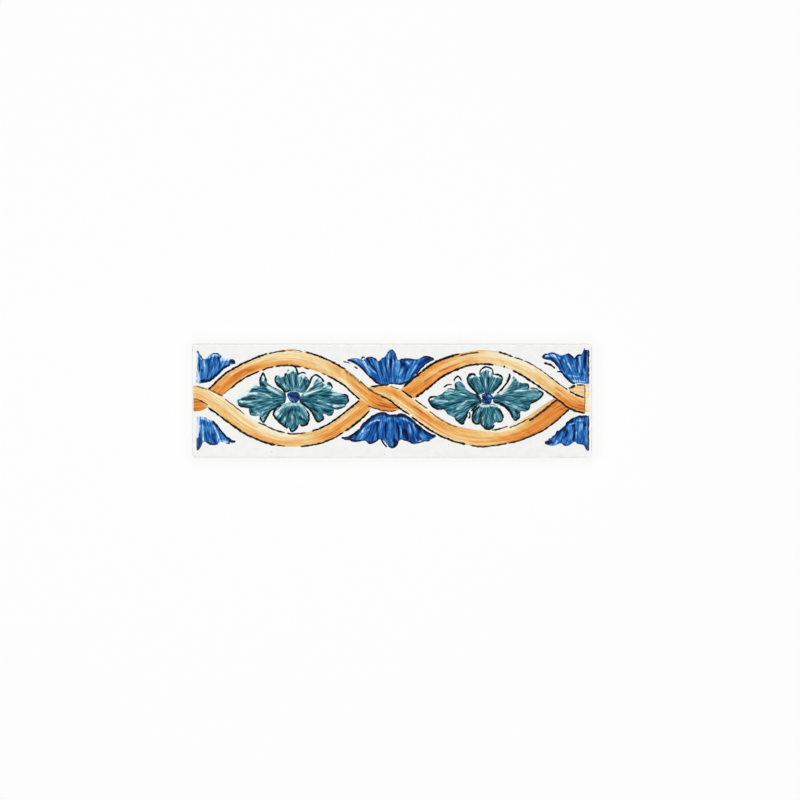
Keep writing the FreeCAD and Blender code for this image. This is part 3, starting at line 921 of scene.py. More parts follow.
paint_pools("rosette_centres", CENTRES, CENTRE_TOUCHES, violet, raised=POOL_TOP / 2)

# %% [markdown]
# ## Palmettes
#
# Blue palmettes fill the notches between the eyes, two in the middle and half of one at each corner,
# where the next tile brings the other half. They are pools like the leaves, but their roots lie across
# the band, so their streaks fan out only a little. The blue was laid on with a fuller brush, so
# all touches here are widened by PALMETTE_BRUSH. Those that darken are deepened by PALMETTE_DEEP, and
# the others, where the brush was wiped out, are made a little paler by PALMETTE_PALE.

# %% Palmettes
PALMETTES = [
    ((0, -4), .53, [
        (-3.1, 22.8), (-2.2, 24.3), (-.3, 25.2), (1.2, 24.4), (2.1, 22.6), (2.5, 20.8), (4.5, 20.4),
        (6, 20.6), (8.5, 21.2), (11, 20.8), (13, 20.8), (15, 21.8), (17.5, 22.2), (19.3, 21.7),
        (20.8, 20.6), (19.5, 19.8), (16.8, 18.4), (14.7, 16.3), (12.7, 14.1), (10.7, 11.8), (9.1, 10.1),
        (7, 8.8), (4, 8), (2, 8.5), (0, 8.4), (-2.5, 7.9), (-5, 8), (-7.5, 8.8), (-10, 10.5), (-12.5, 12.8),
        (-15.2, 15.7), (-18.3, 18.2), (-20.7, 19.3), (-22.4, 20.2), (-20.5, 21), (-18.5, 21.3), (-16, 20.8),
        (-14.5, 20.4), (-12.5, 21.4), (-10, 21.4), (-8, 20.8), (-7, 19.8), (-6, 20.2), (-5, 21.4),
        (-3.5, 22),
    ]),
    ((0, 12), .61, [
        (-25.4, -18.6), (-23, -18.3), (-20.5, -17.8), (-18.5, -16.6), (-16.5, -14.4), (-14.5, -11.8),
        (-12.5, -9.6), (-10, -7.8), (-7, -6.4), (-4, -6), (-2, -6.6), (0, -7.2), (2, -7), (4, -6.5),
        (6.5, -7), (8.9, -8.6), (11.3, -10.8), (13.7, -13.2), (16.3, -15.1), (19, -16.6), (22, -17.6),
        (20.8, -18.8), (18.5, -19.8), (16, -20.4), (14, -20), (12, -21.5), (10, -21), (8, -20.2),
        (6, -19.6), (4.3, -19.6), (3.2, -20.8), (2.3, -22.6), (.5, -23.4), (-1.3, -22.9), (-2.8, -21.6),
        (-4, -20.2), (-5.5, -19.4), (-7.5, -20), (-9.5, -21.4), (-11.5, -21.4), (-13.5, -20.2),
        (-16, -20.4), (-18.5, -20.8), (-21, -20), (-23.5, -19.4),
    ]),
    ((-96, -6), .46, [
        (-95.8, 8.6), (-94, 8.9), (-91.5, 9.7), (-89.5, 11.2), (-87.5, 13.2), (-85.3, 15.4), (-83, 17),
        (-80.5, 18), (-78.4, 18.5), (-78.2, 19.3), (-79.3, 20.6), (-81, 20.8), (-83, 21), (-84.8, 21.4),
        (-85.3, 22.4), (-87, 23.4), (-89, 23.8), (-91, 23), (-92.5, 21.5), (-93.6, 20.8), (-94.6, 21.2),
        (-95.6, 22.6), (-96.6, 24), (-97.7, 25.2, SHARP), (-97.8, 8.8, SHARP),
    ]),
    ((-96, 8), .445, [
        (-95.6, -8), (-93.6, -8.2), (-91.6, -9.4), (-90.2, -10), (-88.6, -12), (-86.6, -14.6), (-84.6, -17),
        (-82.4, -19), (-80, -19.9), (-78.2, -20.2), (-78.4, -20.9), (-81, -21.1), (-83.5, -21),
        (-86, -20.7), (-87, -21.3), (-88.7, -22.2), (-90.5, -21.6), (-92, -21.6), (-93.2, -20.8),
        (-94.2, -20.7), (-95, -22), (-96, -23.8), (-97.3, -24.9), (-97.8, -24, SHARP), (-97.8, -8, SHARP),
    ]),
    ((97, -4), .53, [
        (98.5, 25.6, SHARP), (97, 25.4), (96.2, 25.7), (95.4, 24.4), (94.6, 23), (93, 22.6), (91.6, 21.4),
        (91, 20.8), (90, 22), (88.4, 23.5), (86.5, 23.2), (84.6, 22.6), (82.5, 23.4), (80, 24.2),
        (78, 23.6), (76.4, 22.8), (75.3, 21.4), (76.5, 20.6), (78.8, 20.2), (80.6, 19.5), (82.2, 18),
        (83.4, 16.2), (84.4, 14.8), (86, 13.1), (87.6, 11.1), (89.5, 9.3), (91.6, 8.5), (93.8, 8.8),
        (96.2, 8.4), (98.5, 8.2, SHARP),
    ]),
    ((96, 8), .54, [
        (98.5, -7.4, SHARP), (96.8, -7.8), (94, -7.8), (91.6, -8.2), (89.7, -9), (88.2, -10.5),
        (86.4, -12.4), (84.1, -14.4), (82.4, -15.9), (80.4, -17.9), (78, -19.9), (76.4, -21.4), (78, -22.2),
        (80.6, -22.6), (83, -21.8), (84.6, -21.4), (86, -22.6), (88, -22.6), (90, -21.4), (91.4, -20.6),
        (92.6, -21.6), (94.6, -22), (95.8, -22.4), (97, -24.4), (98.2, -25.3), (98.5, -24.4, SHARP),
    ]),
]
PALMETTE_TOUCHES = [
    (-20.5, 19.6, -17.5, 18, -14.6, 15.2, -12, 12.4, -9, 10.2, .9, .22),
    (-12.6, 20.8, -11, 18.6, -9.2, 16.2, -7.2, 13.4, .5, .32), (-10.4, 20.6, -8.8, 18, -7, 15.4, .4, .2),
    (-6.2, 20.2, -5.6, 17, -4.6, 12.4, 1.1, .2), (-3.4, 21.4, -3.2, 18, -2.6, 14, .5, .32),
    (-.6, 20.4, -.6, 16, -.6, 11.4, .6, .3), (1.7, 22.6, 1.3, 19.4, .6, .16),
    (-.4, 24.4, -.8, 22.2, 1.1, -.16), (4.3, 20.2, 4.8, 18.4, 4.6, 16.6, .8, .26),
    (6.2, 18, 7, 16, 6.6, 13.6, 1.1, .2), (8.2, 17, 8, 15, .7, .18),
    (19.6, 20.9, 16.4, 20.2, 13.6, 18.2, 1.3, .18), (13.6, 18.2, 11.8, 15.2, 9.6, 12.4, .8, .2),
    (-7.6, 11.4, -4, 10.4, -1.4, 10, 1.6, .08), (5.4, 20.3, 9, 20.4, 12.6, 20.3, .6, .2),
    (-2, 23.6, -1.8, 21.6, .8, -.22), (-1.9, 20, -1.7, 16, -1.5, 12.6, .6, -.2),
    (.6, 20.4, .5, 17, .5, 14, .5, -.22), (2.6, 19, 2.6, 16, 2.4, 13.2, 1.4, -.16),
    (3.4, 12.6, 4.8, 14.6, 5.2, 16.2, .5, -.32), (7.2, 19.4, 8.4, 18.6, .9, -.32),
    (10, 19.4, 12, 19.2, .9, -.1), (11.4, 17.4, 9.8, 14.6, 8.2, 12, 1.2, -.2),
    (-8, 19.2, -7.4, 17, -6.8, 15, .8, -.24), (-11.8, 17.2, -10, 15.2, -8.4, 14.2, -6.8, 13.6, .4, -.4),
    (-14.2, 19, -12.6, 16.6, -11, 14, 1, -.24), (-10.4, 18.6, -9.8, 18, .5, -.35),
    (-19.4, 20.8, -16.8, 20.4, -14.8, 19, .8, -.15), (2.6, 10.6, 4.6, 9.8, 7.4, 10.4, .8, -.16),
    (-24, -18.9, -20.5, -18.2, -18, -16.6, 1.1, .2), (-18, -16.4, -16, -14, -13, -10.6, -9.5, -8, 1.3, .26),
    (-9.5, -8, -6, -6.8, -3, -6.8, 1, .2), (-2.5, -7.4, 0, -7.9, 3, -7.6, .8, .25),
    (3.5, -7, 7, -7.8, 10, -10.2, 12.5, -12.6, 1.4, .3),
    (12.5, -12.6, 15.5, -15, 18.5, -16.8, 21.5, -17.8, 1.3, .2),
    (-14.6, -15.4, -13.2, -13.4, -11.6, -11.8, -9.6, -10.6, -7.6, -9.8, -5.8, -9.8, .7, -.42),
    (-15.5, -17, -13.4, -15.6, -11.6, -14.4, 1.1, -.2), (-8, -8.4, -5, -8, -3.2, -8.4, .8, -.1),
    (-3.4, -10, -2, -9, 0, -8.7, 1.6, -9.2, 3, -10.8, 3.8, -13, .7, -.22),
    (5, -8.6, 7, -9.4, 9, -10.4, 11, -11.8, .75, -.45), (8.6, -12.2, 9, -14.4, 9.4, -16.4, .5, -.28),
    (10.8, -12.4, 11.4, -14.6, 11.6, -17.4, .8, -.2), (4.3, -13, 4.5, -16, 4.4, -19, .4, -.3),
    (-5.4, -11.4, -5.2, -14.6, -5, -18.2, .8, -.2), (-7.2, -11, -7.4, -14.6, -7, -19, .8, .26),
    (-10.2, -12.4, -9.6, -15.6, -9.6, -19.8, 1.4, .08), (-3, -11.4, -3.3, -15, -2.9, -19.6, .6, .34),
    (3, -11.4, 3.4, -15, 3.2, -19.4, .7, .32), (6.2, -12.2, 6.4, -15.2, 1.5, .08),
    (6.2, -15.6, 7.4, -19, 1.6, .24), (13.4, -14.6, 13, -18.6, 1, .14),
    (-.2, -12.4, 0, -16, -.4, -19.6, 1.5, -.16), (-1.9, -15.4, -1.8, -19.2, .4, -.3),
    (-1.2, -20.4, -.6, -22, 1, -.16), (1.4, -20, 2, -21.6, .8, -23, 1, .34),
    (14.2, -17.2, 16.4, -18.6, .9, -.2), (17.6, -18.6, 19.6, -18.9, .9, .1),
    (-17, -19.3, -14.8, -18.4, .8, -.12), (-21.5, -19.6, -17.6, -20, .6, .2),
    (-12.4, -20.6, -10, -21, -7.6, -19.8, .6, .2),
    (-94.6, 9.6, -91, 10.4, -88, 12.8, -85, 15.8, -81, 18.2, .9, .26), (-95.4, 9.4, -94.2, 10.4, .9, .3),
    (-92.2, 20, -91.6, 16, -92.2, 12, 1, .2), (-94.4, 19.4, -93.6, 17, -93.6, 14.6, .8, -.22),
    (-89.6, 19.8, -89.2, 17, -89.6, 14, .7, -.18), (-88.4, 18.4, -88.6, 16, .5, .15),
    (-86.8, 21.6, -86.2, 18.8, -86.6, 16, .5, .3), (-85.6, 20.4, -85, 18, .5, -.25),
    (-92, 22.2, -89, 23, -86.6, 22.4, 1.2, -.34), (-85, 21, -81, 20.6, 1.2, -.42),
    (-80.2, 19.8, -78.4, 19, 1.2, .4), (-97.9, 8, -97.6, 14, -97.9, 25, 1.5, -.42),
    (-97.2, 23.8, -95.4, 21, 1.3, -.32), (-97, 11, -96, 9.4, 1.2, -.2), (-95.2, 15.2, -94.4, 14.8, .5, .3),
    (-95, -8.4, -93, -9, -91, -10.4, 1.2, -.3), (-89, -11.6, -87, -14, -84.4, -17.2, -81, -19.8, .8, .2),
    (-94.2, -10.4, -93.8, -12.6, .8, .2), (-92.6, -11.6, -91.6, -13, .7, .12),
    (-89, -12.6, -87.4, -15.6, -86.4, -18.6, .9, -.3), (-92.6, -16.6, -91.6, -20.8, 1.3, .16),
    (-89.6, -17.6, -88.4, -20.6, 1.5, .18), (-95, -13, -94.6, -16, -94.4, -19.6, 1.2, -.26),
    (-97.4, -8, -97, -13, -97.6, -18, 1.6, -.46), (-96.2, -19.6, -96.4, -21.6, -96.8, -24.4, 1.1, .22),
    (-92.4, -21, -88.6, -21.8, -86.8, -21.2, .6, .22), (-85.5, -20.2, -82.4, -20.8, .9, -.36),
    (-81, -20.2, -78.4, -20.5, .7, .45), (-90.8, -13.6, -90, -16.4, .6, -.14),
    (76.2, 21.4, 79.6, 20.8, 82.4, 18.8, 84.4, 16, .9, .26), (76.2, 22.9, 79, 24, 82.4, 23.2, .6, .22),
    (75.8, 21, 75.8, 22.4, .7, .3), (76.6, 22.2, 78.4, 22.3, .7, -.4),
    (79.6, 22.6, 82, 22.2, 84, 21, .8, -.3), (84.2, 20.4, 84.6, 17.8, 86.2, 14.4, .7, .18),
    (85.8, 20.2, 86.6, 18, 88, 15.2, .6, -.36), (86.4, 18.8, 87.6, 16.2, 88.8, 13.4, .5, .16),
    (86.6, 13.8, 89.4, 11.4, .9, -.16), (88, 18.4, 89.2, 16.6, 89.8, 14.6, .6, -.3),
    (87.6, 22.8, 89.6, 20.6, 90.2, 18.4, 1, .16), (91.3, 19.6, 91.2, 17.4, .8, -.16),
    (92.4, 21.8, 92.4, 18, 92.6, 14, .8, .24), (93.9, 22, 94, 18, 93.9, 14, .6, -.3),
    (95.2, 21.6, 95.2, 17.6, 94.8, 14, .7, .08), (96.6, 24.8, 96.6, 20, 96.6, 15, 1, .2),
    (97.8, 22, 97.9, 15, .4, -.25), (88.6, 12.6, 91, 12.2, 93.6, 12, .5, -.26),
    (90.4, 9.8, 93, 9.6, 96.4, 9.4, .8, -.34), (95.6, 12.4, 96, 10.6, .6, -.26),
    (94, 10.6, 94.1, 9.4, .4, -.3), (95.6, 15.4, 96.2, 13.6, .9, -.2),
    (86, 13, 88.4, 10.4, 89.8, 9.6, .7, .18),
    (91.6, -8.8, 88.6, -11, 85.4, -13.9, 82.6, -16.6, 79.6, -19.4, .9, .2),
    (92.6, -8.5, 97.4, -8.2, .7, .16), (77.2, -21.2, 80.2, -20.8, 1.1, .34),
    (88.8, -11, 90.6, -10.4, .8, .1), (88.6, -11.8, 91.8, -11.4, .4, -.35), (93.6, -9.4, 96, -9.8, 1, -.2),
    (92.8, -10, 95.8, -10.2, .4, -.2), (86, -14.4, 87.4, -16.4, 86, -18.6, 1.3, .2),
    (88.3, -13.6, 88.4, -17, .4, -.25), (89.6, -12.6, 89.8, -15, 89.2, -18.6, .8, -.12),
    (90.8, -12.6, 91.2, -16, 90.6, -19.8, .9, .26), (92.2, -16, 92, -18.8, .5, -.34),
    (94.4, -12.4, 94, -14.6, 93.8, -15.6, 1.2, -.22), (93.6, -16.6, 93.9, -19, .4, -.24),
    (95, -15.6, 94.9, -19, .8, .12), (96.4, -12, 96, -14.6, .6, .14),
    (97, -13.6, 96.8, -17, 97, -21.6, 1, -.26), (82.4, -20.2, 82, -21.4, .5, -.3),
    (84.6, -18.8, 83.4, -20.4, .7, -.12), (85.6, -20, 85.6, -21.4, .4, -.25),
    (87.6, -20.4, 89.6, -20.6, 1, .1), (86.4, -22, 88.4, -22.2, .7, .14), (93, -21.6, 95.4, -21.6, .8, .1),
    (97.6, -23.2, 98.2, -24.8, .8, .12),
]

PALMETTE_BRUSH, PALMETTE_DEEP, PALMETTE_PALE = 1.35, 1.4, 1.05
pressed = [
    (*points, width * PALMETTE_BRUSH, amount * (PALMETTE_DEEP if amount > 0 else PALMETTE_PALE))
    for *points, width, amount in PALMETTE_TOUCHES
]
paint_pools("palmette_paint", PALMETTES, pressed, cobalt)

# %% [markdown]
# ## Outlines
#
# Last of all, a fine brush with a dark colour draws the outlines. The line swells, thins, wobbles and
# breaks off, because it was drawn in quick pulls. A pull is a narrow sleeve, as a strand is a broad one,
# and its width, its course and its darkness drift by slow noise.

# %% Pulls of the outline brush
LINE_STEP, LINE_COLUMNS, LINE_TOP, LINE_TAPER = 0.3, 4, 0.09, 1.1
LINE_BODY, LINE_SWELL, LINE_WOBBLE, LINE_FADE = 1.25, 0.7, 0.2, 0.34
LINE_SWELL_RATE, LINE_WOBBLE_RATE, LINE_FADE_RATE = 0.7, 0.5, 0.7
LINE_TIP, LINE_TIP_SHAPE, THINNEST = 0.25, 0.6, 0.35
WOBBLE_SEED, FADE_SEED = 40, 80


def pull(bm, layers, points, width, dark, seed):
    """One pull of the outline brush through the points."""
    path = flow(points, LINE_STEP)
    travel, left = unroll(path)
    whole = travel[-1]
    swell = np.array([LINE_BODY + LINE_SWELL * drift(s * LINE_SWELL_RATE, seed) for s in travel])
    taper = np.clip((np.minimum(travel, whole - travel) + LINE_TIP) / LINE_TAPER, 0, 1) ** LINE_TIP_SHAPE
    wobble = np.array([LINE_WOBBLE * drift(s * LINE_WOBBLE_RATE, seed + WOBBLE_SEED) for s in travel])
    path[:, :2] += left * wobble[:, None]
    tones = [dark + LINE_FADE * drift(s * LINE_FADE_RATE, seed + FADE_SEED) for s in travel]
    sleeve(bm, layers, path, width / 2 * np.maximum(swell, THINNEST) * taper, np.full(len(path), LINE_TOP),
           lambda row, side: tones[row], LINE_COLUMNS, seed)


def draw_outlines(name, lines, material):
    """A piece made of one pull of the outline brush for each line."""
    bm = bmesh.new()
    layers = paint_layers(bm)
    for seed, (points, width, dark) in enumerate(lines):
        pull(bm, layers, points, width, dark, seed)
    close_up(bm)
    finish_piece(bm, name, material)


print("lines stand", LINE_TOP, "mm proud")

# %% [markdown]
# ## Outlines of the band
#
# A brown line runs along the strands. Most of its pulls follow an edge, so they take their points from
# the strands as they were laid. Each is told by its strand, its side, where it starts and ends along x,
# its width and its darkness. Side 1 is the upper edge and -1 the lower one, and a value between them lies
# inside. The few pulls that leave the edges go through their own points.

# %% Outlines of the band
EDGE_STRIDE = 4
BAND_PULLS = [
    ("upper_left", .96, -92, -62, .85, .9), ("upper_left", .9, -62, -53, .6, .8),
    ("upper_left", 1, -53, -44.5, .4, .35), ("upper_left", 1, -43.5, -23, .8, .85),
    ("upper_left", .8, -24, -15, 1.2, .12), ("upper_left", 1, -16, -11, .5, .6),
    ("upper_left", -.95, -84.5, -80, .5, .3), ("upper_left", -1, -81, -66, .75, .85),
    ("upper_left", -1, -65, -59, .7, .9), ("upper_left", -1, -58.5, -45, .7, .8),
    ("upper_left", -1, -44, -41, .55, .8), ("upper_left", -1, -35.5, -33, .6, .4),
    ("upper_left", -1, -33, -15.5, .8, .95), ("lower_left", 1, -98.5, -92, .7, .1),
    ("lower_left", 1, -84, -73.5, .4, .5), ("lower_left", 1, -67, -53.5, .65, .85),
    ("lower_left", 1, -53, -43, .65, .5), ("lower_left", 1, -40, -16, .8, .95),
    ("lower_left", -1, -92, -58, .85, .95), ("lower_left", -1, -58, -53, .55, .7),
    ("lower_left", -1, -46, -24, .75, .8), ("lower_left", -1, -23.5, -11, .85, .95),
    ("lower_right", 1, -11, -4, .8, .9), ("lower_right", 1, -1, 4, .4, .35),
    ("lower_right", 1, 4.5, 10.5, .75, .9), ("lower_right", 1, 11, 18, .5, .7),
    ("lower_right", .88, 18.5, 33, .6, .25), ("lower_right", 1, 50, 58, .65, .85),
    ("lower_right", .74, 58.5, 69, .55, .6), ("lower_right", -.9, -6, 9, .85, .9),
    ("lower_right", -1, 9.5, 37, .85, .95), ("lower_right", -.97, 39, 58, .6, .75),
    ("lower_right", -1.03, 58, 90, .72, .9), ("upper_right", 1, 5.5, 34, 1, .95),
    ("upper_right", .72, 34, 43.5, .7, .7), ("upper_right", 1, 53, 61, .75, .95),
    ("upper_right", 1, 61, 66, .6, .6), ("upper_right", 1, 66, 88, .5, .75),
    ("upper_right", 1, 88.5, 96.4, .75, .85), ("upper_right", -1.03, 11.5, 51, .9, .95),
    ("upper_right", -1, 60, 83, .85, .95), ("upper_right", -1, 83, 96.4, 1, .8),
    ("right_end", 1, 88, 92, 1.1, .9), ("right_end", 1, 92.2, 96.4, .7, .85),
]
BAND_LINES = [
    ([(-12, -2.7), (-8, -4), (-5, -4.9), (0, -5.3), (2, -5)], .6, .65),
    ([(56.1, 17.6), (56.1, 16.4)], .8, 1),
    ([(68.5, -10.1), (72, -7.8), (75, -5.6), (78, -3.2), (80, -1.5), (82, -.1), (83.4, .8)], .95, .62),
    ([(96.4, 8), (96.5, 3), (96.4, -2), (96.4, -6)], .4, .45),
    ([(-97, .6), (-94, -.8), (-92, -2.3)], .7, .5),
    ([(-91, 5.3), (-88, 3.9), (-84.5, 2.2)], .7, .35),
    ([(-99.4, .8), (-98, .9), (-96.6, .5)], .6, .5),
    ([(-12.4, 6.3), (-9.8, 4.6), (-7.2, 3.1), (-5, 2.4)], .7, .32),
]


def strand_edge(strand, side, start, end):
    """Points along one edge of a led strand, from one x to another."""
    path = led_strands[strand]
    left = unroll(path)[1]
    edge = path[:, :2] + left * (side * path[:, 2] / 2)[:, None]
    chosen = edge[(edge[:, 0] >= start) & (edge[:, 0] <= end)]
    kept = np.linspace(0, len(chosen) - 1, max(2, len(chosen) // EDGE_STRIDE)).round().astype(int)
    return chosen[kept]


edge_lines = [(strand_edge(*where), width, dark) for *where, width, dark in BAND_PULLS]
draw_outlines("strand_outlines", edge_lines + BAND_LINES, brown_line)

# %% [markdown]
# ## Outlines of the leaves
#
# A blue-black line goes round the leaves, with gaps, and it often strays from their edges. So it isn't
# taken from the outlines of the pools: each pull goes through its own points.

# %% Outlines of the leaves
LEAF_LINES = [
    ([(-62.9, 9.4), (-63.2, 11.2), (-63.9, 12.6), (-64.4, 13.6), (-65.2, 12.6), (-65.8, 11), (-65.9, 9),
      (-65.8, 7.4)], .8, .95),
    ([(-66, -8), (-65.5, -9.6), (-64.3, -10.8), (-63.2, -9.2), (-62, -6.8), (-60.6, -5),
      (-58.4, -3.8)], .8, .9),
    ([(-76.9, -1.8), (-75.2, -2.7), (-73, -3.2), (-71.4, -3.4)], .9, .8),
    ([(-74.6, .6), (-72, .5), (-69.2, .8)], .5, .7),
    ([(-62.4, 8.4), (-60.6, 7.2), (-58.8, 6.3), (-57.2, 5.6)], .45, .6),
    ([(-71.5, -4), (-71.2, -6), (-70.3, -7.3), (-67.8, -7.6)], .35, .35),
    ([(-57.6, 12.6), (-58.3, 11.2), (-58.1, 9.4), (-57.2, 7.9), (-55.8, 6.7), (-54.2, 5.4),
      (-53, 4.4)], .95, .95),
    ([(-53.7, 11), (-53.4, 12.8), (-52.8, 13.8)], .8, .9), ([(-52.4, 14.6), (-51.7, 15.6)], .6, .9),
    ([(-50.6, 18), (-49.6, 17.6), (-48.6, 17), (-47.9, 15.9), (-47.4, 14.6), (-47.1, 12.8)], .75, .95),
    ([(-46.9, 12.6), (-46.3, 13.5), (-45, 14.1), (-43.8, 13.9), (-43, 13.2)], .6, .9),
    ([(-42.3, 11), (-41.6, 9.4), (-41.9, 7.4), (-42.8, 5.8)], .7, .7),
    ([(-54.4, 5), (-53.2, 4.4), (-51.8, 4.7), (-50.6, 5.2)], .8, .9),
    ([(-54.6, 5), (-53.8, 4), (-53.5, 2.6), (-53, 1.4)], .8, .9), ([(-54, -1.2), (-53.6, .6)], .7, .8),
    ([(-41.4, 7.8), (-40.7, 9.8), (-39.9, 11.6), (-38.5, 12.9), (-37, 12.5), (-35.6, 11.4), (-34.5, 10.1),
      (-34.1, 9.2)], .8, .95),
    ([(-32.4, 8.9), (-31.2, 8.8), (-30.3, 7.9), (-29.8, 6.2)], .7, .9),
    ([(-24.6, 2.9), (-23, 2.7), (-22.1, 1.8), (-21.9, .2), (-22.3, -1.2)], .9, .9),
    ([(-29, -4.1), (-26.8, -4.1), (-24.8, -3.6), (-23.2, -2.6)], .5, .6),
    ([(-34.2, -7.6), (-34.8, -9.5), (-36.6, -10.5), (-38.1, -9.6), (-39, -7.8), (-40.2, -5.7), (-42, -3.7),
      (-44, -2), (-45.8, -.6), (-46.1, .8)], .85, .95),
    ([(-29.2, -5.6), (-30.4, -7.2), (-32.4, -7.2)], .6, .6),
    ([(-55.2, -2.2), (-57.4, -3.4), (-58.7, -5), (-59.3, -6.8), (-58.4, -8.4), (-57, -10.2), (-55.2, -11.7),
      (-53.6, -13), (-52, -13.7)], .85, .95),
    ([(-51.4, -13.8), (-50, -15.2), (-48.4, -14.6), (-47.3, -13.2), (-46.9, -11.9)], .8, .85),
    ([(-46, -12.1), (-44.4, -12.5), (-42.5, -11.6), (-41.7, -9.8), (-41.7, -7.2), (-42.6, -4.8)], .85, .9),
    ([(-48.3, -7.8), (-48.4, -9.6), (-48.4, -11.2)], .55, .7),
    ([(42, 12.7), (40.6, 13.3), (38.9, 12.9), (37.8, 11.5), (37.8, 9.8), (38.6, 8), (39.9, 6.5), (41.4, 5),
      (42.8, 3.6), (43.4, 2.8)], .85, .95),
    ([(44, 12.6), (44.2, 14.8), (45.3, 16.3), (47, 16.9), (48.8, 16.5), (50.1, 15.4), (50.5, 13.8),
      (50.7, 12.8)], .7, .78),
    ([(51, 13.1), (52.6, 13.1), (54.3, 12.3), (55.2, 10.9), (54.7, 9.2), (53.4, 7.3), (52, 5.7),
      (50.6, 4.7)], .8, .85),
    ([(30.9, 9.6), (31.6, 11), (32.9, 12.2), (34, 11.3), (34.6, 9.9)], .75, .95),
    ([(25.8, 6.5), (26.8, 7.4), (28.4, 8), (30.2, 7.9)], .6, .7),
    ([(27.6, 5.7), (29.2, 5.8), (31, 5.6)], .5, .6),
    ([(31.7, 8.8), (31.8, 7.2), (32.4, 5.6)], .7, .85),
    ([(22.3, 2.1), (20.4, 2), (18.7, 1.1), (18.5, 0), (19.4, -1.6), (20.8, -3.2), (22.8, -4.1),
      (25.4, -4.2)], .8, .9),
    ([(31.4, -8.8), (33.3, -10.5), (35.4, -11.6), (36.3, -9.8), (37.2, -7.4), (38.3, -5.4)], .85, .9),
    ([(38.3, -9.2), (39, -7.4), (38.7, -5.6)], .7, .85),
    ([(39.6, -5.4), (41, -3.8), (42.6, -2.6)], .8, .85),
    ([(41.6, 3.2), (43, 1.8), (43.8, .2), (44.4, -1.6)], 1, .95),
    ([(58.6, 13.7), (58.8, 12.2), (58.1, 10.2), (56.9, 8.1), (55.3, 6.1), (53.8, 4.7), (52.6, 3.6)], .9, 1),
    ([(51, -.5), (53.4, -1.3), (55.6, -2.3), (57.6, -3.7), (59.1, -5.4), (60, -7.2), (60.6, -9)], 1.1, .95),
    ([(60.5, -9.2), (62, -9.8), (63.4, -8.6), (63.9, -6.6)], .7, .8),
    ([(69, 6.1), (71.4, 6.2), (73.2, 5.6)], .5, .6),
    ([(73, 5.3), (74.6, 4.3), (75.3, 3.4), (74.5, 1.8), (73, .5), (71, -.5), (69.2, -1.6)], .85, .85),
    ([(67.7, 8.6), (68.3, 7.4), (68.3, 6)], .85, .95), ([(69, -2.4), (68.6, -3.8), (67.6, -5.1)], .6, .7),
    ([(43.4, -3.2), (41.6, -4.7), (40.5, -6.6), (40.2, -8.8), (40.8, -10.8), (42.4, -11.6),
      (44, -11.6)], .95, .9),
    ([(44.4, -6.4), (44, -8.8), (44.6, -11.4), (46, -13.4), (48, -14.4), (50, -13.7),
      (51.1, -12)], .8, .85),
    ([(53.2, -3.9), (54.4, -5.6), (55.3, -7.6), (55.6, -8.9)], .95, .95),
    ([(55.6, -9.2), (54.6, -10.4), (52.6, -10.7)], .7, .7),
]

draw_outlines("leaf_outlines", LEAF_LINES, blue_line)

# %% [markdown]
# ## Outlines of the palmettes
#
# A navy line picks out the edges of the palmettes in the same way, in short pulls with gaps between them.

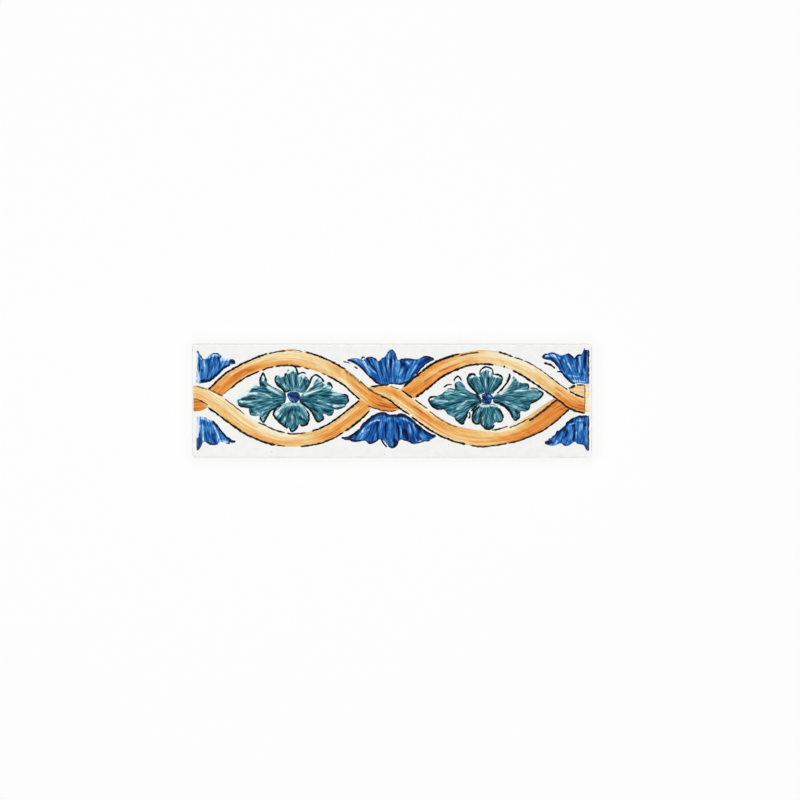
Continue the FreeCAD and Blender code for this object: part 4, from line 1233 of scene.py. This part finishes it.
# %% Outlines of the palmettes
PALMETTE_LINES = [
    ([(-11.5, 12.5), (-9, 10.3), (-7, 8.7), (-4, 7.9), (-1.7, 8)], .9, .9),
    ([(-1.5, 8.8), (1, 8.6), (4, 8.3), (6, 8.8), (8.5, 10), (11, 12)], .8, .75),
    ([(-22.3, 20.2), (-20.3, 20), (-18, 18.7), (-15, 16.5), (-12.5, 13.8)], .8, .9),
    ([(-24.5, 19.4), (-23, 19.3), (-21, 18.5)], .5, .9), ([(-19, 17), (-17, 16)], .6, .9),
    ([(-15.3, 20.7), (-14.5, 21.7), (-13.5, 21.3)], .6, .9),
    ([(-13, 21.2), (-10.5, 21.6), (-8.5, 20.9), (-7.6, 20)], .7, .8),
    ([(-2.5, 22.5), (-1.5, 24.5), (0, 25.2), (1.3, 23.8), (2.1, 22), (2.5, 20.5)], .5, .55),
    ([(4, 20.6), (7, 20.7), (10, 20.8)], .8, .9),
    ([(15, 21.6), (17.5, 22), (19.5, 21.3), (21, 20.6)], .8, .9),
    ([(21, 20.5), (19, 19.7), (16.3, 18), (13.8, 15.4), (11.8, 13.2)], .65, .85),
    ([(-16, -14.3), (-14, -11.8), (-11, -9), (-8, -7.2), (-4.5, -6.2), (-2, -7)], .9, .9),
    ([(-2.5, -7.3), (0, -7.5), (2.5, -7.4)], .9, .95),
    ([(3, -6.6), (6, -7), (9, -8.9), (12, -11.6), (15, -14), (18, -16.1), (21.5, -17.7)], .65, .85),
    ([(-25.3, -18.6), (-23, -18.4), (-20.5, -17.6), (-17.5, -15.5), (-14, -13)], .7, .8),
    ([(-24, -19.3), (-21, -19.5), (-19.5, -20.3), (-15, -19.8)], .8, .85),
    ([(-12.5, -20.6), (-10.5, -21.3), (-8, -20.2), (-6.5, -19.2)], .7, .7),
    ([(-5.6, -19.2), (-4.5, -20.8), (-2.5, -23.3)], .7, .9),
    ([(-2, -22.6), (.5, -23.4), (2.3, -22.4), (2.9, -20.5), (3.3, -19.5)], .7, .75),
    ([(5, -19.3), (8, -20.2), (11, -21.4), (13, -21), (16, -20.2), (19, -19.8)], .7, .75),
    ([(-94.5, 9.2), (-91.5, 9.9), (-89, 11.5), (-86.5, 14), (-84, 16.4), (-81, 17.8)], .9, .85),
    ([(-80.5, 19.5), (-78.4, 18.8)], 1.2, .9), ([(-96.3, 20), (-96.3, 17), (-96.4, 14.4)], .7, .9),
    ([(-97.5, 25), (-96, 22.5), (-95, 21)], .8, .25),
    ([(-90, 23.3), (-88.5, 23.5), (-86.5, 23.4)], .6, .85),
    ([(-90, -10.2), (-88, -12.1), (-85.5, -15.3), (-83, -18), (-80, -20)], .75, .85),
    ([(-80.5, -20.6), (-78.3, -20.3)], 1.1, .95), ([(-83, -21.3), (-81, -21.4)], .6, .9),
    ([(-96.3, -16), (-96.3, -19), (-96.3, -22), (-97, -24.6)], .8, .85),
    ([(-92, -21.2), (-89, -21.9), (-87, -21.5)], .8, .8),
    ([(98.2, 25.3), (98.2, 20), (98.2, 14), (98.2, 8.6)], .7, 1), ([(96.2, 26.2), (96.2, 25)], .6, .95),
    ([(91.2, 21), (93, 22.4), (94.8, 23)], .8, .85), ([(88, 23.6), (89.5, 22.4), (91, 20.8)], .8, .85),
    ([(75.5, 21), (76, 22.5), (77.5, 23.2)], 1, .85),
    ([(75.8, 18.8), (77.5, 18.5), (79.4, 17.8), (81.7, 16.1)], .85, 1),
    ([(82.5, 14.6), (84.4, 14.4), (86.2, 12.6), (88, 10.6), (90, 9.1), (91.6, 8.6)], .8, .95),
    ([(79.5, 20.1), (81.4, 19.1), (83, 17), (84.2, 15.2)], .6, .75),
    ([(98.2, -7.6), (98.2, -13), (98.2, -19), (98.2, -24.9)], .62, 1),
    ([(92.2, -8), (95, -7.9), (97.7, -7.6)], .75, .95),
    ([(91, -8.6), (88.6, -10.3), (86.8, -12.1)], .75, .9), ([(83.2, -15), (81.8, -16.4)], .6, .8),
    ([(80.7, -17.5), (80, -18.1)], .6, .8), ([(79, -18.8), (78, -19.6)], .5, .6),
    ([(76.5, -21.2), (78, -20.5), (80, -19.9)], 1.1, .9),
]

draw_outlines("palmette_outlines", PALMETTE_LINES, navy_line)
